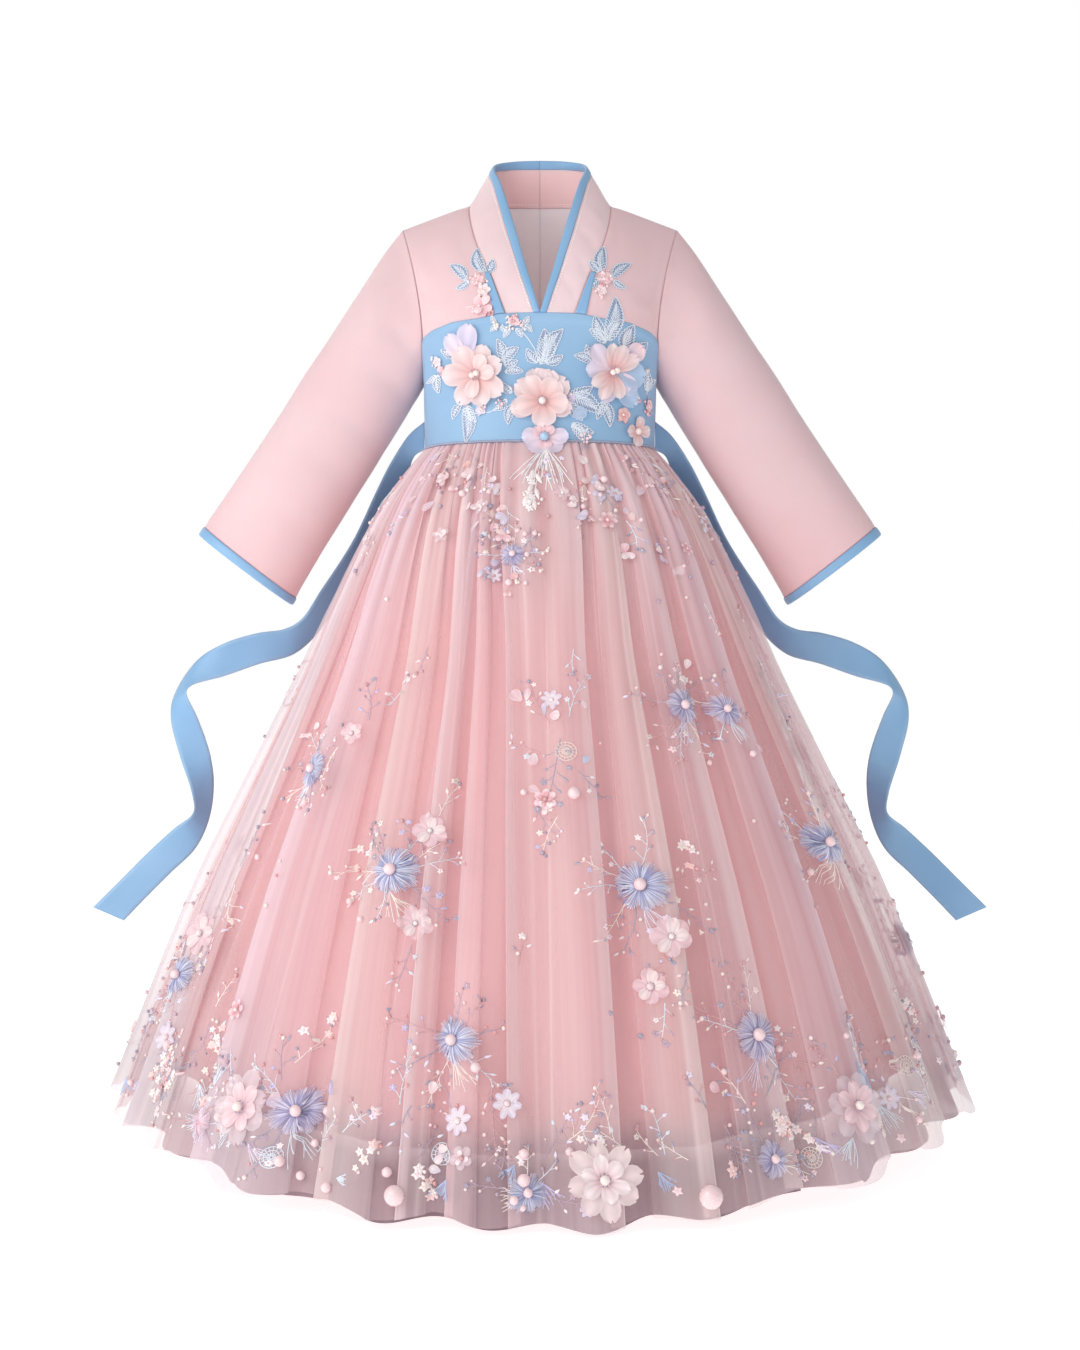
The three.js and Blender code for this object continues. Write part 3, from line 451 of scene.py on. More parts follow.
# ------------------------------------------------------------ meshes
def mesh_piece(name, points, blocks, finish, uv=None, marks=None, tints=None):
    """A piece from points in mm and blocks of faces, each block an array with a row for each face."""
    mesh = bpy.data.meshes.new(name)
    order = np.concatenate([block.ravel() for block in blocks]).astype(np.int32)
    sizes = np.concatenate([np.full(len(block), block.shape[1]) for block in blocks])
    mesh.vertices.add(len(points))
    mesh.vertices.foreach_set("co", (np.asarray(points) * MM).astype(np.float32).ravel())
    mesh.loops.add(len(order))
    mesh.loops.foreach_set("vertex_index", order)
    mesh.polygons.add(len(sizes))
    mesh.polygons.foreach_set("loop_start", np.concatenate(([0], np.cumsum(sizes)[:-1])).astype(np.int32))
    mesh.polygons.foreach_set("use_smooth", np.ones(len(sizes), bool))
    mesh.update(calc_edges=True)
    if uv is not None:
        layer = mesh.uv_layers.new(name="cloth")
        layer.data.foreach_set("uv", uv.astype(np.float32).ravel())
    for mark, values in (marks or {}).items():
        layer = mesh.attributes.new(mark, "FLOAT", "POINT")
        layer.data.foreach_set("value", values.astype(np.float32).ravel())
    if tints is not None:
        layer = mesh.attributes.new("tint", "FLOAT_COLOR", "POINT")
        layer.data.foreach_set("color", tints.astype(np.float32).ravel())
    mesh.validate()
    mesh.materials.append(finish)
    piece = bpy.data.objects.new(name, mesh)
    bpy.context.scene.collection.objects.link(piece)
    return piece


def corners(grid):
    """The four corners of each cell of a grid, row by row."""
    cells = np.stack([grid[:-1, :-1], grid[:-1, 1:], grid[1:, 1:], grid[1:, :-1]], 2)
    return cells.reshape(-1, 4, *grid.shape[2:])


def joined_up(grid):
    """A ring's grid with its first column again at the end."""
    return np.append(grid, grid[:, :1], 1)


def numbers(grid):
    """The number of each point of a grid."""
    return np.arange(grid.shape[0] * grid.shape[1]).reshape(grid.shape[:2])


def lengths(grid, axis):
    """How far each point of a grid lies along its line, in mm."""
    step = np.linalg.norm(np.diff(grid, axis=axis), axis=-1)
    start = np.zeros_like(grid[:, :1, 0] if axis else grid[:1, :, 0])
    return np.concatenate([start, np.cumsum(step, axis)], axis)


def normals_of(grid, inside, ring=False):
    """Normals of a grid of points, turned away from inside."""
    across = np.roll(grid, -1, 1) - np.roll(grid, 1, 1) if ring else np.gradient(grid, axis=1)
    normal = unit(np.cross(across, np.gradient(grid, axis=0)))
    return normal if ((grid - inside) * normal).sum() > 0 else -normal


def cloth_piece(name, grid, normal, finish, thick, ring=False, marks=None, tints=None):
    """A thin shell under a grid of points, rows down the cloth and columns across it."""
    rows, columns = grid.shape[:2]
    number = joined_up(numbers(grid)) if ring else numbers(grid)
    wide = lengths(joined_up(grid) if ring else grid, 1)[rows // 2] * MM
    deep = lengths(grid, 0)[:, columns // 2] * MM
    face, face_uv = corners(number), corners(np.stack(np.meshgrid(wide, deep), -1))
    first, out = grid.reshape(-1, 3), normal.reshape(-1, 3)
    across, down = (first[face[:, k]] - first[face[:, 0]] for k in (1, 3))
    turned = (np.cross(across, down) * out[face[:, 0]]).sum() < 0
    if turned:
        face, face_uv = face[:, ::-1], face_uv[:, ::-1]
    points, blocks, uvs = first, [face], [face_uv]
    per_point = dict(marks or {})
    if thick:
        under = rows * columns
        points = np.concatenate([first, first - out * thick])
        blocks.append(face[:, ::-1] + under)
        uvs.append(face_uv[:, ::-1])
        rims = [(number[0, :-1], number[0, 1:]), (number[-1, 1:], number[-1, :-1])]
        if not ring:
            rims += [(number[1:, 0], number[:-1, 0]), (number[:-1, -1], number[1:, -1])]
        for a, b in rims:
            rim = np.stack([b, a, a + under, b + under], 1)
            blocks.append(rim[:, ::-1] if turned else rim)
            uvs.append(np.zeros((len(a), 4, 2)))
        per_point = {key: np.concatenate([value.ravel()] * 2) for key, value in per_point.items()}
        per_point["reverse"] = np.repeat((0.0, 1.0), under)
        tints = None if tints is None else np.concatenate([tints.reshape(-1, 4)] * 2)
    elif tints is not None:
        tints = tints.reshape(-1, 4)
    uv = np.concatenate([block.reshape(-1, 2) for block in uvs])
    made = mesh_piece(name, points, blocks, finish, uv, per_point, tints)
    sides = np.arange(len(made.data.polygons)) < sum(len(block) for block in blocks[:2])
    made.data.polygons.foreach_set("use_smooth", sides)
    return made


def from_edges(grid, sides):
    """How far each point lies from the named edges: l, r, t or b."""
    across, down = lengths(grid, 1), lengths(grid, 0)
    choices = {"l": across, "r": across[:, -1:] - across, "t": down, "b": down[-1:] - down}
    return np.min([choices[side] for side in sides], axis=0)


def creases(grid, lines):
    """Height of soft ridges and troughs.  A line is (start, end, width, height) by x and z."""
    flat = grid[..., (0, 2)]
    lift = np.zeros(grid.shape[:-1])
    for start, end, width, height in lines:
        start, end = np.array(start, float), np.array(end, float)
        along = end - start
        share = clamp01((flat - start) @ along / (along @ along))
        nearest = start + share[..., None] * along
        bend = 0.12 * np.linalg.norm(along) * np.sin(np.pi * share)
        side = np.array((-along[1], along[0])) / np.linalg.norm(along)
        away = (flat - nearest) @ side - bend
        past = np.linalg.norm(flat - nearest - ((flat - nearest) @ side)[..., None] * side, axis=-1)
        fade = np.sin(np.pi * np.clip(share, 0.03, 0.97)) ** 0.7
        lift += height * fade * np.exp(-(away / width) ** 2 - (past / width) ** 2)
    return lift


def unevenness(grid, size, height, seed):
    """A slow, irregular swell that no real cloth is free of."""
    draw = np.random.default_rng(seed)
    total = 0
    for _ in range(5):
        way = unit(draw.normal(size=3)) * 2 * np.pi / size * draw.uniform(0.6, 1.5)
        total = total + np.sin(grid @ way + draw.uniform(0, 2 * np.pi))
    return height * total / 5


def eased(count, strength=0.8):
    """Shares from 0 to 1 that lie closer together near both ends."""
    t = np.linspace(0, 1, count)
    return lerp(t, 0.5 - 0.5 * np.cos(np.pi * t), strength)


def finished(piece, slot, nodes=(), cut=None):
    """Rides with the dress and stands for its solids; its cut is not used."""
    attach(piece, "root")
    if nodes:
        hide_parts(*nodes)


def panel(name, grid, inside, finish, seams, thick, lift=None, ring=False):
    """A sewn panel: its edges reach across the gap and turn in a little at the named seams."""
    grid = grid.copy()
    for sides, lines in (("tb", grid), ("lr", grid.swapaxes(0, 1))):
        for side, edge, beside in zip(sides, (0, -1), (1, -2)):
            if side in seams:
                lines[edge] += unit(lines[edge] - lines[beside]) * HALF_GAP * SEAM_REACH
    normal = normals_of(grid, inside, ring)
    height = np.zeros(grid.shape[:-1]) if lift is None else lift
    seam = np.zeros(grid.shape[:-1])
    if seams:
        away = from_edges(grid, seams)
        height = height * smooth(away / SEAM_CALM) - SEAM_TURN * np.exp(-(away / SEAM_WIDE) ** 2)
        # The seam mark: where painted shade darkens the cloth along the seams' grooves.
        seam = np.exp(-(away / (SEAM_WIDE * 0.8)) ** 2)
    grid = grid + normal * height[..., None]
    return cloth_piece(name, grid, normals_of(grid, inside, ring), finish, thick, ring, {"seam": seam})


def flipped(grid, sign):
    return grid * (sign, 1, 1)


def bound_edge(name, middle, across, out, closed=False):
    """A folded binding, its section swept along a line.  middle, across and out are arrays with a
    row for each station."""
    section = np.array(BINDING, float)
    points = middle[:, None] + across[:, None] * section[None, :, :1] + out[:, None] * section[None, :, 1:]
    columns = len(section)
    number = joined_up(numbers(points))
    run = lengths(points, 0)[:, 0] * MM
    girth = np.linspace(0, np.linalg.norm(section[0] - section[-1]) * MM * columns, columns + 1)
    if closed:
        number = np.append(number, number[:1], 0)
        run = np.append(run, run[-1] + (run[-1] - run[-2]))
    face = corners(number)
    ends = [] if closed else [number[:1, :-1][:, ::-1], number[-1:, :-1]]
    blocks = [face, *ends]
    flat = points.reshape(-1, 3)
    core = np.repeat(points.mean(1), columns, 0)
    a, b, c = (flat[face[:, k]] for k in (0, 1, 3))
    if (np.cross(b - a, c - a) * (a - core[face[:, 0]])).sum() < 0:
        blocks = [block[:, ::-1] for block in blocks]
    uv = corners(np.stack(np.meshgrid(girth, run), -1)).reshape(-1, 2)
    uv = np.concatenate([uv, np.zeros((sum(block.size for block in ends), 2))])
    return mesh_piece(name, flat, blocks, RIBBON, uv, {"seam": np.zeros(len(flat))})


# ------------------------------------------------------------ finishes
class Value:
    """A number that changes over a surface; sums on it become nodes of its finish."""

    def __init__(self, finish, socket):
        self.finish, self.socket = finish, socket

    def sum(self, operation, *terms):
        return self.finish.node("ShaderNodeMath", {"operation": operation}, dict(enumerate(terms)))

    def __add__(self, other):
        return self.sum("ADD", self, other)

    def __sub__(self, other):
        return self.sum("SUBTRACT", self, other)

    def __rsub__(self, other):
        return self.sum("SUBTRACT", other, self)

    def __mul__(self, other):
        return self.sum("MULTIPLY", self, other)

    def held(self, low=0.0, high=1.0):
        return self.sum("MAXIMUM", self.sum("MINIMUM", self, high), low)

    __radd__, __rmul__ = __add__, __mul__


class Finish:
    """One material: a Principled shader with the same constants all over, and nodes that vary it."""

    def __init__(self, name, roughness, specular, sheen=0.0, sheen_roughness=0.4, coat=0.0, through=0.0):
        self.material = bpy.data.materials.new(name)
        self.material.use_nodes = True
        self.nodes = self.material.node_tree.nodes
        self.links = self.material.node_tree.links
        self.shader = self.nodes["Principled BSDF"]
        for socket, value in {
            "Roughness": roughness, "Sheen Weight": sheen, "Sheen Roughness": sheen_roughness,
            "Coat Weight": coat, "Specular IOR Level": specular, "Subsurface Weight": through,
        }.items():
            self.shader.inputs[socket].default_value = value
        self.shader.inputs["Subsurface Radius"].default_value = (1, 0.6, 0.5)
        self.shader.inputs["Subsurface Scale"].default_value = 0.004

    def node(self, kind, settings, sockets, out=0):
        """A node of a kind: its settings first, then values or links of its sockets."""
        made = self.nodes.new(kind)
        for key, value in settings.items():
            setattr(made, key, value)
        for key, value in sockets.items():
            if isinstance(value, Value):
                self.links.new(value.socket, made.inputs[key])
            else:
                made.inputs[key].default_value = value
        return Value(self, made.outputs[out])

    def feed(self, socket, value):
        self.links.new(value.socket, self.shader.inputs[socket])
        return self

    def painted_glow(self, colour, strength):
        """The colour, and a little of it given off as a painted glow that stands in for light passing through
        and lifts its shaded parts.
        """
        self.feed("Base Color", colour).feed("Emission Color", colour)
        self.shader.inputs["Emission Strength"].default_value = strength

    def mix(self, share, a, b):
        """A colour between a and b."""
        a, b = (c if isinstance(c, Value) else (*c, 1) for c in (a, b))
        return self.node("ShaderNodeMix", {"data_type": "RGBA"}, {0: share, 6: a, 7: b}, 2)

    def cloth_place(self):
        return self.node("ShaderNodeUVMap", {"uv_map": "cloth"}, {})

    def place(self):
        return self.node("ShaderNodeTexCoord", {}, {}, "Object")

    def mark(self, name):
        return self.node("ShaderNodeAttribute", {"attribute_name": name}, {}, "Fac")

    def tint(self):
        return self.node("ShaderNodeAttribute", {"attribute_name": "tint"}, {}, "Color")

    def tint_cover(self):
        return self.node("ShaderNodeAttribute", {"attribute_name": "tint"}, {}, "Alpha")

    def cloud(self, scale, detail, roughness=0.5, place=None):
        return self.node("ShaderNodeTexNoise", {}, {
            "Vector": place or self.place(), "Scale": scale, "Detail": detail, "Roughness": roughness})

    def streaks(self, across, down, detail, roughness=0.5):
        """A cloud drawn out along the cloth: so many changes in a metre across it, and down it."""
        drawn = self.node("ShaderNodeMapping", {}, {"Vector": self.cloth_place(), "Scale": (across, down, 1)})
        return self.cloud(1, detail, roughness, drawn)

    def threads(self, apart, way):
        """Parallel threads of the cloth, so many mm apart: 0 between them, 1 on top."""
        return self.node("ShaderNodeTexWave", {"wave_type": "BANDS", "bands_direction": way}, {
            "Vector": self.cloth_place(), "Scale": 1 / (apart * MM * 2 * math.pi),
            "Distortion": 0.4, "Detail": 1.0, "Detail Scale": 2.0}, "Fac")

    def relief(self, height, strength, distance):
        return self.feed("Normal", self.node("ShaderNodeBump", {}, {
            "Height": height, "Strength": strength, "Distance": distance * MM}))


def rgb(red, green, blue):
    """A linear colour from 0-255 numbers, for dyes and for painted shade and light."""
    return tuple(((c / 255 + 0.055) / 1.055) ** 2.4 for c in (red, green, blue))


def woven(name, base, deep, seam, reverse, thread, **constants):
    """Plain woven cloth: fine crossing threads, a slow change of shade, painted shade darkening its seams,
    and its reverse.
    """
    f = Finish(name, **constants)
    weave = f.threads(thread, "X") * 0.5 + f.threads(thread, "Y") * 0.5
    grain = f.cloud(900, 2)
    slow = f.cloud(9, 3)
    shade = f.mix((slow * 1.6 - 0.3).held(), base, deep)
    shade = f.mix((grain * 0.7 - 0.1).held(0, 0.35), shade, deep)
    # Painted shade: the seam colour darkens the cloth along its seams.
    shade = f.mix((f.mark("seam") * 0.75).held(), shade, seam)
    shade = f.mix(f.mark("reverse"), shade, reverse)
    f.feed("Base Color", shade)
    f.feed("Roughness", grain * 0.2 + (constants["roughness"] - 0.1))
    f.relief(weave * 0.6 + grain * 0.4, 0.35, 0.12)
    return f.material


def pink_crepe(name, base, deep, reverse):
    # rgb(220, 164, 169) is the painted shade along the seams.
    return woven(name, base, deep, rgb(220, 164, 169), reverse, 0.5,
                 roughness=0.62, sheen=0.25, specular=0.25, through=0.5)


def blue_satin_cloth():
    base, deep = rgb(156, 192, 222), rgb(140, 178, 213)
    # seam is the painted shade along the band's seams.
    seam, reverse = rgb(110, 144, 190), rgb(206, 222, 238)
    return woven("blue satin cloth", base, deep, seam, reverse, 0.35,
                 roughness=0.42, sheen=0.15, specular=0.4)


def blue_ribbon():
    """Satin ribbon: a fine rib across it, a soft gleam, and a painted highlight along its edges."""
    f = Finish("blue satin ribbon", roughness=0.36, sheen=0.1, specular=0.45)
    rib = f.threads(0.4, "Y")
    slow = f.cloud(14, 2)
    shade = f.mix(slow, rgb(150, 192, 228), rgb(126, 172, 214))
    # Painted highlight: where the seam mark lies along a tie's edges, the ribbon is lightened.
    shade = f.mix((f.mark("seam") * 0.6).held(), shade, rgb(176, 208, 236))
    f.feed("Base Color", shade)
    f.feed("Roughness", slow * 0.12 + 0.3)
    f.relief(rib, 0.25, 0.08)
    return f.material


def coral_lining():
    f = Finish("coral lining satin", roughness=0.5, sheen=0.2, specular=0.35)
    streak = f.streaks(40, 1.5, 2)
    shade = f.mix((streak * 1.8 - 0.4).held(), rgb(243, 184, 185), rgb(235, 164, 166))
    f.feed("Base Color", shade)
    f.feed("Roughness", streak * 0.2 + 0.4)
    f.relief(streak, 0.2, 0.3)
    return f.material


def net(name, between, folded, streaked):
    """Fine see-through net: thin between the pleats, doubled on their faces, and denser where an edge
    turns, where a painted highlight makes it pale.  Bunched threads make faint upright streaks.  The tint's
    cover makes it denser."""
    f = Finish(name, roughness=0.75, sheen=0.3, sheen_roughness=0.5, specular=0.15)
    streak = f.streaks(90, 1.2, 3, 0.6)
    wide = f.streaks(22, 0.8, 2)
    # pale holds faint streaks and the painted highlight along the pleats' edges.
    pale = ((streak * 1.4 - 0.5).held(0, 0.4) + f.mark("edge") * 0.7) * (1 - f.tint_cover()).held()
    f.feed("Base Color", f.mix(pale.held(), f.tint(), rgb(255, 240, 240)))
    cover = f.mark("face") * (folded - between) * (wide * 0.8 + 0.6) + f.mark("edge") * 0.34
    cover = cover + (streak - 0.5) * streaked + between + f.tint_cover()
    f.feed("Alpha", cover.held(0.04, 0.95))
    f.relief(streak, 0.2, 0.5)
    return f.material


def outer_net():
    return net("outer net", 0.2, 0.38, 0.24)


def under_net():
    return net("under net", 0.16, 0.26, 0.15)


PINK = pink_crepe("pink crepe", rgb(243, 209, 212), rgb(237, 195, 199), rgb(252, 238, 240))
# The collar's crepe is the bodice's cloth painted lighter, to offset the shade its slope takes.
COLLAR_PINK_PAINTED_LIGHTER = pink_crepe("pink collar crepe", rgb(250, 221, 224), rgb(245, 209, 212), rgb(246, 208, 209))
BLUE = blue_satin_cloth()
RIBBON = blue_ribbon()
BODY_AXIS, NECK_MIDDLE = np.array((0, 0, -150.0)), np.array((0, 0, -70.0))
# Thickness of the shells, in mm.
COLLAR_THICK, BODICE_THICK, BAND_THICK, STRAP_THICK, TIE_THICK, LINING_THICK = 1.4, 1.1, 1.3, 0.8, 0.7, 0.5
# How far a half that meets its other half in the middle reaches past the gap.
MIDDLE_REACH = HALF_GAP + 0.3
# Section of a folded binding: share across its width, and height.
BINDING = (
    (-0.5, -1.9), (-0.52, -0.4), (-0.5, 0.5), (-0.4, 0.95), (-0.15, 1.15), (0.15, 1.15), (0.38, 1.0),
    (0.5, 0.5), (0.54, -0.5), (0.5, -1.6), (0.38, -2.1), (0, -2.3), (-0.38, -2.2),
)
# Soft creases, as (start, end, width, height) by x and z on the wearer's right.
COLLAR_CREASES = (
    ((30, -30), (52, -62), 6, -0.9), ((22, -52), (45, -88), 5, -0.8), ((34, -8), (60, -30), 5, 0.7),
    ((14, -80), (34, -108), 5, -0.7), ((40, -70), (27, -48), 7, 0.8),
)
FRONT_CREASES = (
    ((126, -60), (92, -104), 8, -1.1), ((118, -96), (84, -124), 7, -1.0), ((112, -118), (78, -96), 8, 0.9),
    ((72, -22), (60, -70), 7, -0.7), ((104, -34), (92, -78), 9, -0.7), ((50, -112), (64, -84), 6, 0.6),
)
BAND_CREASES = (
    ((104, -150), (66, -172), 7, -0.9), ((106, -178), (62, -196), 7, -0.8),
    ((100, -224), (60, -206), 8, -0.9), ((-96, -156), (-52, -176), 8, -0.9),
    ((-104, -206), (-60, -216), 7, -0.8), ((-30, -226), (30, -222), 7, -0.8),
    ((30, -140), (-24, -150), 9, 0.6),
)
SLEEVE_CREASES = (
    ((112, -160), (150, -120), 9, -1.6), ((122, -190), (176, -168), 9, -1.5),
    ((132, -60), (168, -112), 11, -1.0), ((150, -236), (206, -206), 10, -1.3),
    ((176, -276), (236, -232), 12, -1.2), ((196, -140), (232, -206), 12, 0.9),
    ((206, -326), (262, -296), 10, -1.0), ((240, -250), (282, -300), 12, 0.8),
)


def collars(side, sign):
    start = (BINDING_WIDE + GAP) / COLLAR_WIDE
    s, t = np.linspace(0, 1, 121), start + eased(19) * (1 - start)
    grid = collar_point(s[None], t[:, None])
    grid[..., 0] -= MIDDLE_REACH * smooth((s - 0.93) / 0.07)
    in_front = grid[..., 1] < 10
    lift = creases(grid, COLLAR_CREASES) * in_front + unevenness(grid, 70, 0.35, 3)
    name = f"collar_cloth_{side}"
    cloth = panel(name, flipped(grid, sign), NECK_MIDDLE, COLLAR_PINK_PAINTED_LIGHTER, "b", COLLAR_THICK, lift)
    finished(cloth, "pink_cloth", [f"collar_{side}"], "collar")
    stations = np.linspace(0, 1, 161)
    edge, seam_side = collar_point(stations, 0.0), collar_point(stations, BINDING_WIDE / COLLAR_WIDE)
    across = edge - seam_side
    out = unit(np.cross(across, np.gradient(edge, axis=0)))
    out *= np.sign((out * (edge - (0, -10, -100))).sum(1, keepdims=True))
    middle = (edge + seam_side) / 2
    binding = bound_edge(f"neck_edge_{side}", *(flipped(line, sign) for line in (middle, across, out)))
    for vertex in binding.data.vertices:
        vertex.co.x = sign * max(0, sign * vertex.co.x)
    finished(binding, "blue_satin", [f"neck_binding_{side}"])
    return cloth


def bodices(side, sign):
    u = eased(49, 0.7)
    grids = [front_point(u[None], u[:, None]), back_point(u[None], u[:, None])]
    grids[1][..., 0] -= MIDDLE_REACH * (1 - smooth(grids[1][..., 0] / 10))
    cloths = []
    for part, seams, seed, grid in zip(("front", "back"), ("lrt", "rt"), (5, 6), grids):
        lift = creases(grid, FRONT_CREASES) + unevenness(grid, 80, 0.5, seed)
        name = f"bodice_{part}_cloth_{side}"
        cloths.append(panel(name, flipped(grid, sign), BODY_AXIS, PINK, seams, BODICE_THICK, lift))
        finished(cloths[-1], "pink_cloth", [f"bodice_{part}_{side}"], f"bodice_{part}")
    u, v = np.linspace(0, 1, 7)[None], np.linspace(0, 1, 25)[:, None]
    strap = front_point((GAP + u * lerp(*STRAP_WIDE, v)) / (SIDE_X - FRONT_FOOT_X), lerp(0.6, 1, v))
    strap += normals_of(strap, BODY_AXIS) * STRAP_RISE
    strap = panel(f"strap_cloth_{side}", flipped(strap, sign), BODY_AXIS, RIBBON, "", STRAP_THICK)
    finished(strap, "blue_satin", [f"collar_strap_{side}"], "strap")
    return cloths[0]


def chest_bands():
    half, v = eased(57, 0.5), eased(45, 0.7)

    def lift_of(grid, top, seed):
        """Creases, and the soft roll of the band's top edge."""
        lift = creases(grid, BAND_CREASES) + unevenness(grid, 70, 0.6, seed)
        return lift + 0.9 * np.exp(-((top - 4) / 3) ** 2)

    grid = band_point(-1)(np.concatenate([-half[:0:-1], half])[None], v[:, None])
    top = from_edges(grid, "t")
    grid += np.exp(-(top / 1.5) ** 2)[..., None] * (0, -0.35, 0.7)
    front = panel("chest_band_cloth_front", grid, BODY_AXIS, BLUE, "b", BAND_THICK, lift_of(grid, top, 8))
    finished(front, "band_cloth", ["chest_band_front"], "band_front")
    for side, sign in SIDES:
        grid = band_point(1)(half[None], v[:, None])
        grid[..., 0] = np.maximum(HALF_GAP, grid[..., 0])
        lift = lift_of(grid, from_edges(grid, "t"), 9)
        grid[..., 0] -= HALF_GAP * (1 - smooth(grid[..., 0] / 10))
        name, node = f"chest_band_cloth_back_{side}", f"chest_band_back_{side}"
        back = panel(name, flipped(grid, sign), BODY_AXIS, BLUE, "bl", BAND_THICK, lift)
        finished(back, "band_cloth", [node], "band_back")
    return front


def sleeves(side, sign):
    turn = np.arange(96) / 96
    along = eased(81, 0.6) * (1 - (CUFF_WIDE + GAP) / SLEEVE_LONG)
    grid = sleeve_point(turn[None], along[:, None])
    core = np.broadcast_to(grid.mean(1, keepdims=True), grid.shape)
    lift = creases(grid, SLEEVE_CREASES) + unevenness(grid, 110, 0.9, 11)
    name = f"sleeve_cloth_{side}"
    cloth = panel(name, flipped(grid, sign), flipped(core, sign), PINK, "tb", BODICE_THICK, lift, True)
    finished(cloth, "pink_cloth", [f"sleeve_{side}"], "sleeve")
    start, end = sleeve_point(turn, 1 - CUFF_WIDE / SLEEVE_LONG), sleeve_point(turn, 1.0)
    middle, across = (start + end) / 2, end - start
    out = unit(middle - middle.mean(0))
    out -= unit(across) * (out * unit(across)).sum(1, keepdims=True)
    lines = (flipped(line, sign) for line in (middle, across, unit(out)))
    cuff = bound_edge(f"cuff_edge_{side}", *lines, True)
    finished(cuff, "blue_satin", [f"cuff_binding_{side}"])


def ties(side, sign):
    u, v = np.linspace(0, 1, 9), np.linspace(0, 1, 241)
    grid = tie_point(u[:, None], v[None])
    across, along = np.gradient(grid, axis=0), np.gradient(grid, axis=1)
    normal = unit(np.cross(across, along))
    cup = 0.9 * np.sin(v * 23)[None] * (1 - (2 * u[:, None] - 1) ** 2) * smooth(v * 12)[None]
    grid = flipped(grid + normal * (cup + 0.4)[..., None], sign)
    across, along = np.gradient(grid, axis=0), np.gradient(grid, axis=1)
    # rim marks the tie's edges, where the ribbon carries a painted highlight.
    rim = np.exp(-(from_edges(grid, "tb") / 1.2) ** 2)
    normal = unit(np.cross(across, along))
    cloth = cloth_piece(f"tie_{side}", grid, normal, RIBBON, TIE_THICK, marks={"seam": rim})
    finished(cloth, "blue_satin", [f"sash_{side}"], "tie")


# ------------------------------------------------------------ the skirt's three layers
# How far the hem of the net sways up and down, in mm, and how deep its painted shade below the lining
# is at the sides beside the front's.
HEM_SWAY, SIDE_SHADE = 2.5, 0.74
# Across a pleat's face: share of its width, and share of its height.
PLEAT_FACE = ((0, 0.8), (0.28, 1.1), (0.72, 1.1), (1, 0.8))
# A pleat's edges turn under by their tuck, this many times as far at the waist, to this height.
TUCK_MORE, TUCK_HEIGHT = 1.3, -2.0
# How dense a pleat's face is at its shaded side, where its colour is painted towards the deep shade; it is 1
# at its pale edge.
FACE_LEAST = 0.35
# Share down where the painted shade below the lining starts, and over which share it deepens.
SHADE_START, SHADE_DEEPENS = 0.86, 0.07
# How much more the net covers in the gathers at the waist.
WAIST_COVER = 0.34
# Gathers and swells: how many all round, height in mm, and the shares down where they start and end.
NET_GATHERS = ((139, 1.5, 0.0, 0.2), (89, 2.0, 0.02, 0.42), (61, 1.5, 0.06, 0.66), (37, 1.0, 0.2, 0.95))
LINING_SWELLS = ((71, 0.8, 0.0, 0.3), (29, 2.0, 0.1, 1.6), (17, 2.4, 0.2, 2.0))
# Colours of the net's panels.  deep is painted shade between and across them; mauve, coral and edge are
# painted shade below the lining, in the gathers at the waist and at the sides near the hem.
NET = {
    "pink": (*rgb(253, 228, 232), 0), "lavender": (*rgb(248, 226, 240), 0.05),
    "beige": (*rgb(248, 228, 226), 0.02), "rose": (*rgb(252, 214, 220), 0),
    "mist": (*rgb(242, 234, 242), 0.05), "deep": (*rgb(247, 211, 215), 0),
    "mauve": (*rgb(122, 90, 104), 0.78), "coral": (*rgb(238, 166, 169), 0),
    "edge": (*rgb(206, 194, 198), 0.5),
}
# Pleats of the outer net: left and right edge in degrees at the hem, the same at the waist,
# how far each edge turns under, how far the pleat stands out in mm, and its shade.
PLEATS = (
    (-66, -53, -74, -63, 3.0, 1.2, 7, "mist"), (-48, -30, -60, -44, 3.6, 1.5, 9, "lavender"),
    (-28, -18.5, -42, -33, 3.0, 1.0, 7, "beige"), (-17, -12.8, -31, -25, 2.2, 0.8, 5, "pink"),
    (-11.5, -6.5, -23.5, -18, 2.2, 1.0, 6, "rose"), (-4.1, 10, -16.5, 13, 2.6, 2.8, 9, "pink"),
    (12.5, 20.8, 15.5, 25, 1.2, 2.8, 7, "beige"), (23.5, 33, 27.5, 37, 1.4, 3.0, 8, "pink"),
    (36, 49, 40, 53, 1.4, 3.2, 8, "lavender"), (53, 66, 57, 70, 1.6, 2.8, 7, "beige"),
    (70, 83, 73.5, 85, 1.6, 2.6, 7, "mist"), (88, 100, 88, 98, 2.2, 2.4, 6, "pink"),
    (105, 117, 101, 112, 2.6, 2.2, 8, "lavender"), (122, 132, 115.5, 126, 2.4, 2.2, 6, "beige"),
    (137, 151, 129.5, 143, 2.6, 2.6, 8, "pink"), (155, 165, 147, 158, 2.2, 2.4, 6, "rose"),
    (169, 184, 162, 183, 2.8, 2.6, 9, "pink"), (188, 200, 187, 201, 2.2, 2.8, 7, "beige"),
    (205, 216, 206, 219, 2.4, 2.6, 7, "lavender"), (221, 234, 223, 237, 2.6, 2.4, 8, "pink"),
    (239, 250, 241, 252, 2.2, 2.6, 6, "beige"), (255, 267, 256.5, 267, 2.4, 2.4, 7, "pink"),
    (272, 283, 271, 280, 2.2, 1.6, 6, "mist"), (286.5, 291, 282, 285, 1.4, 1.2, 4, "pink"),
)


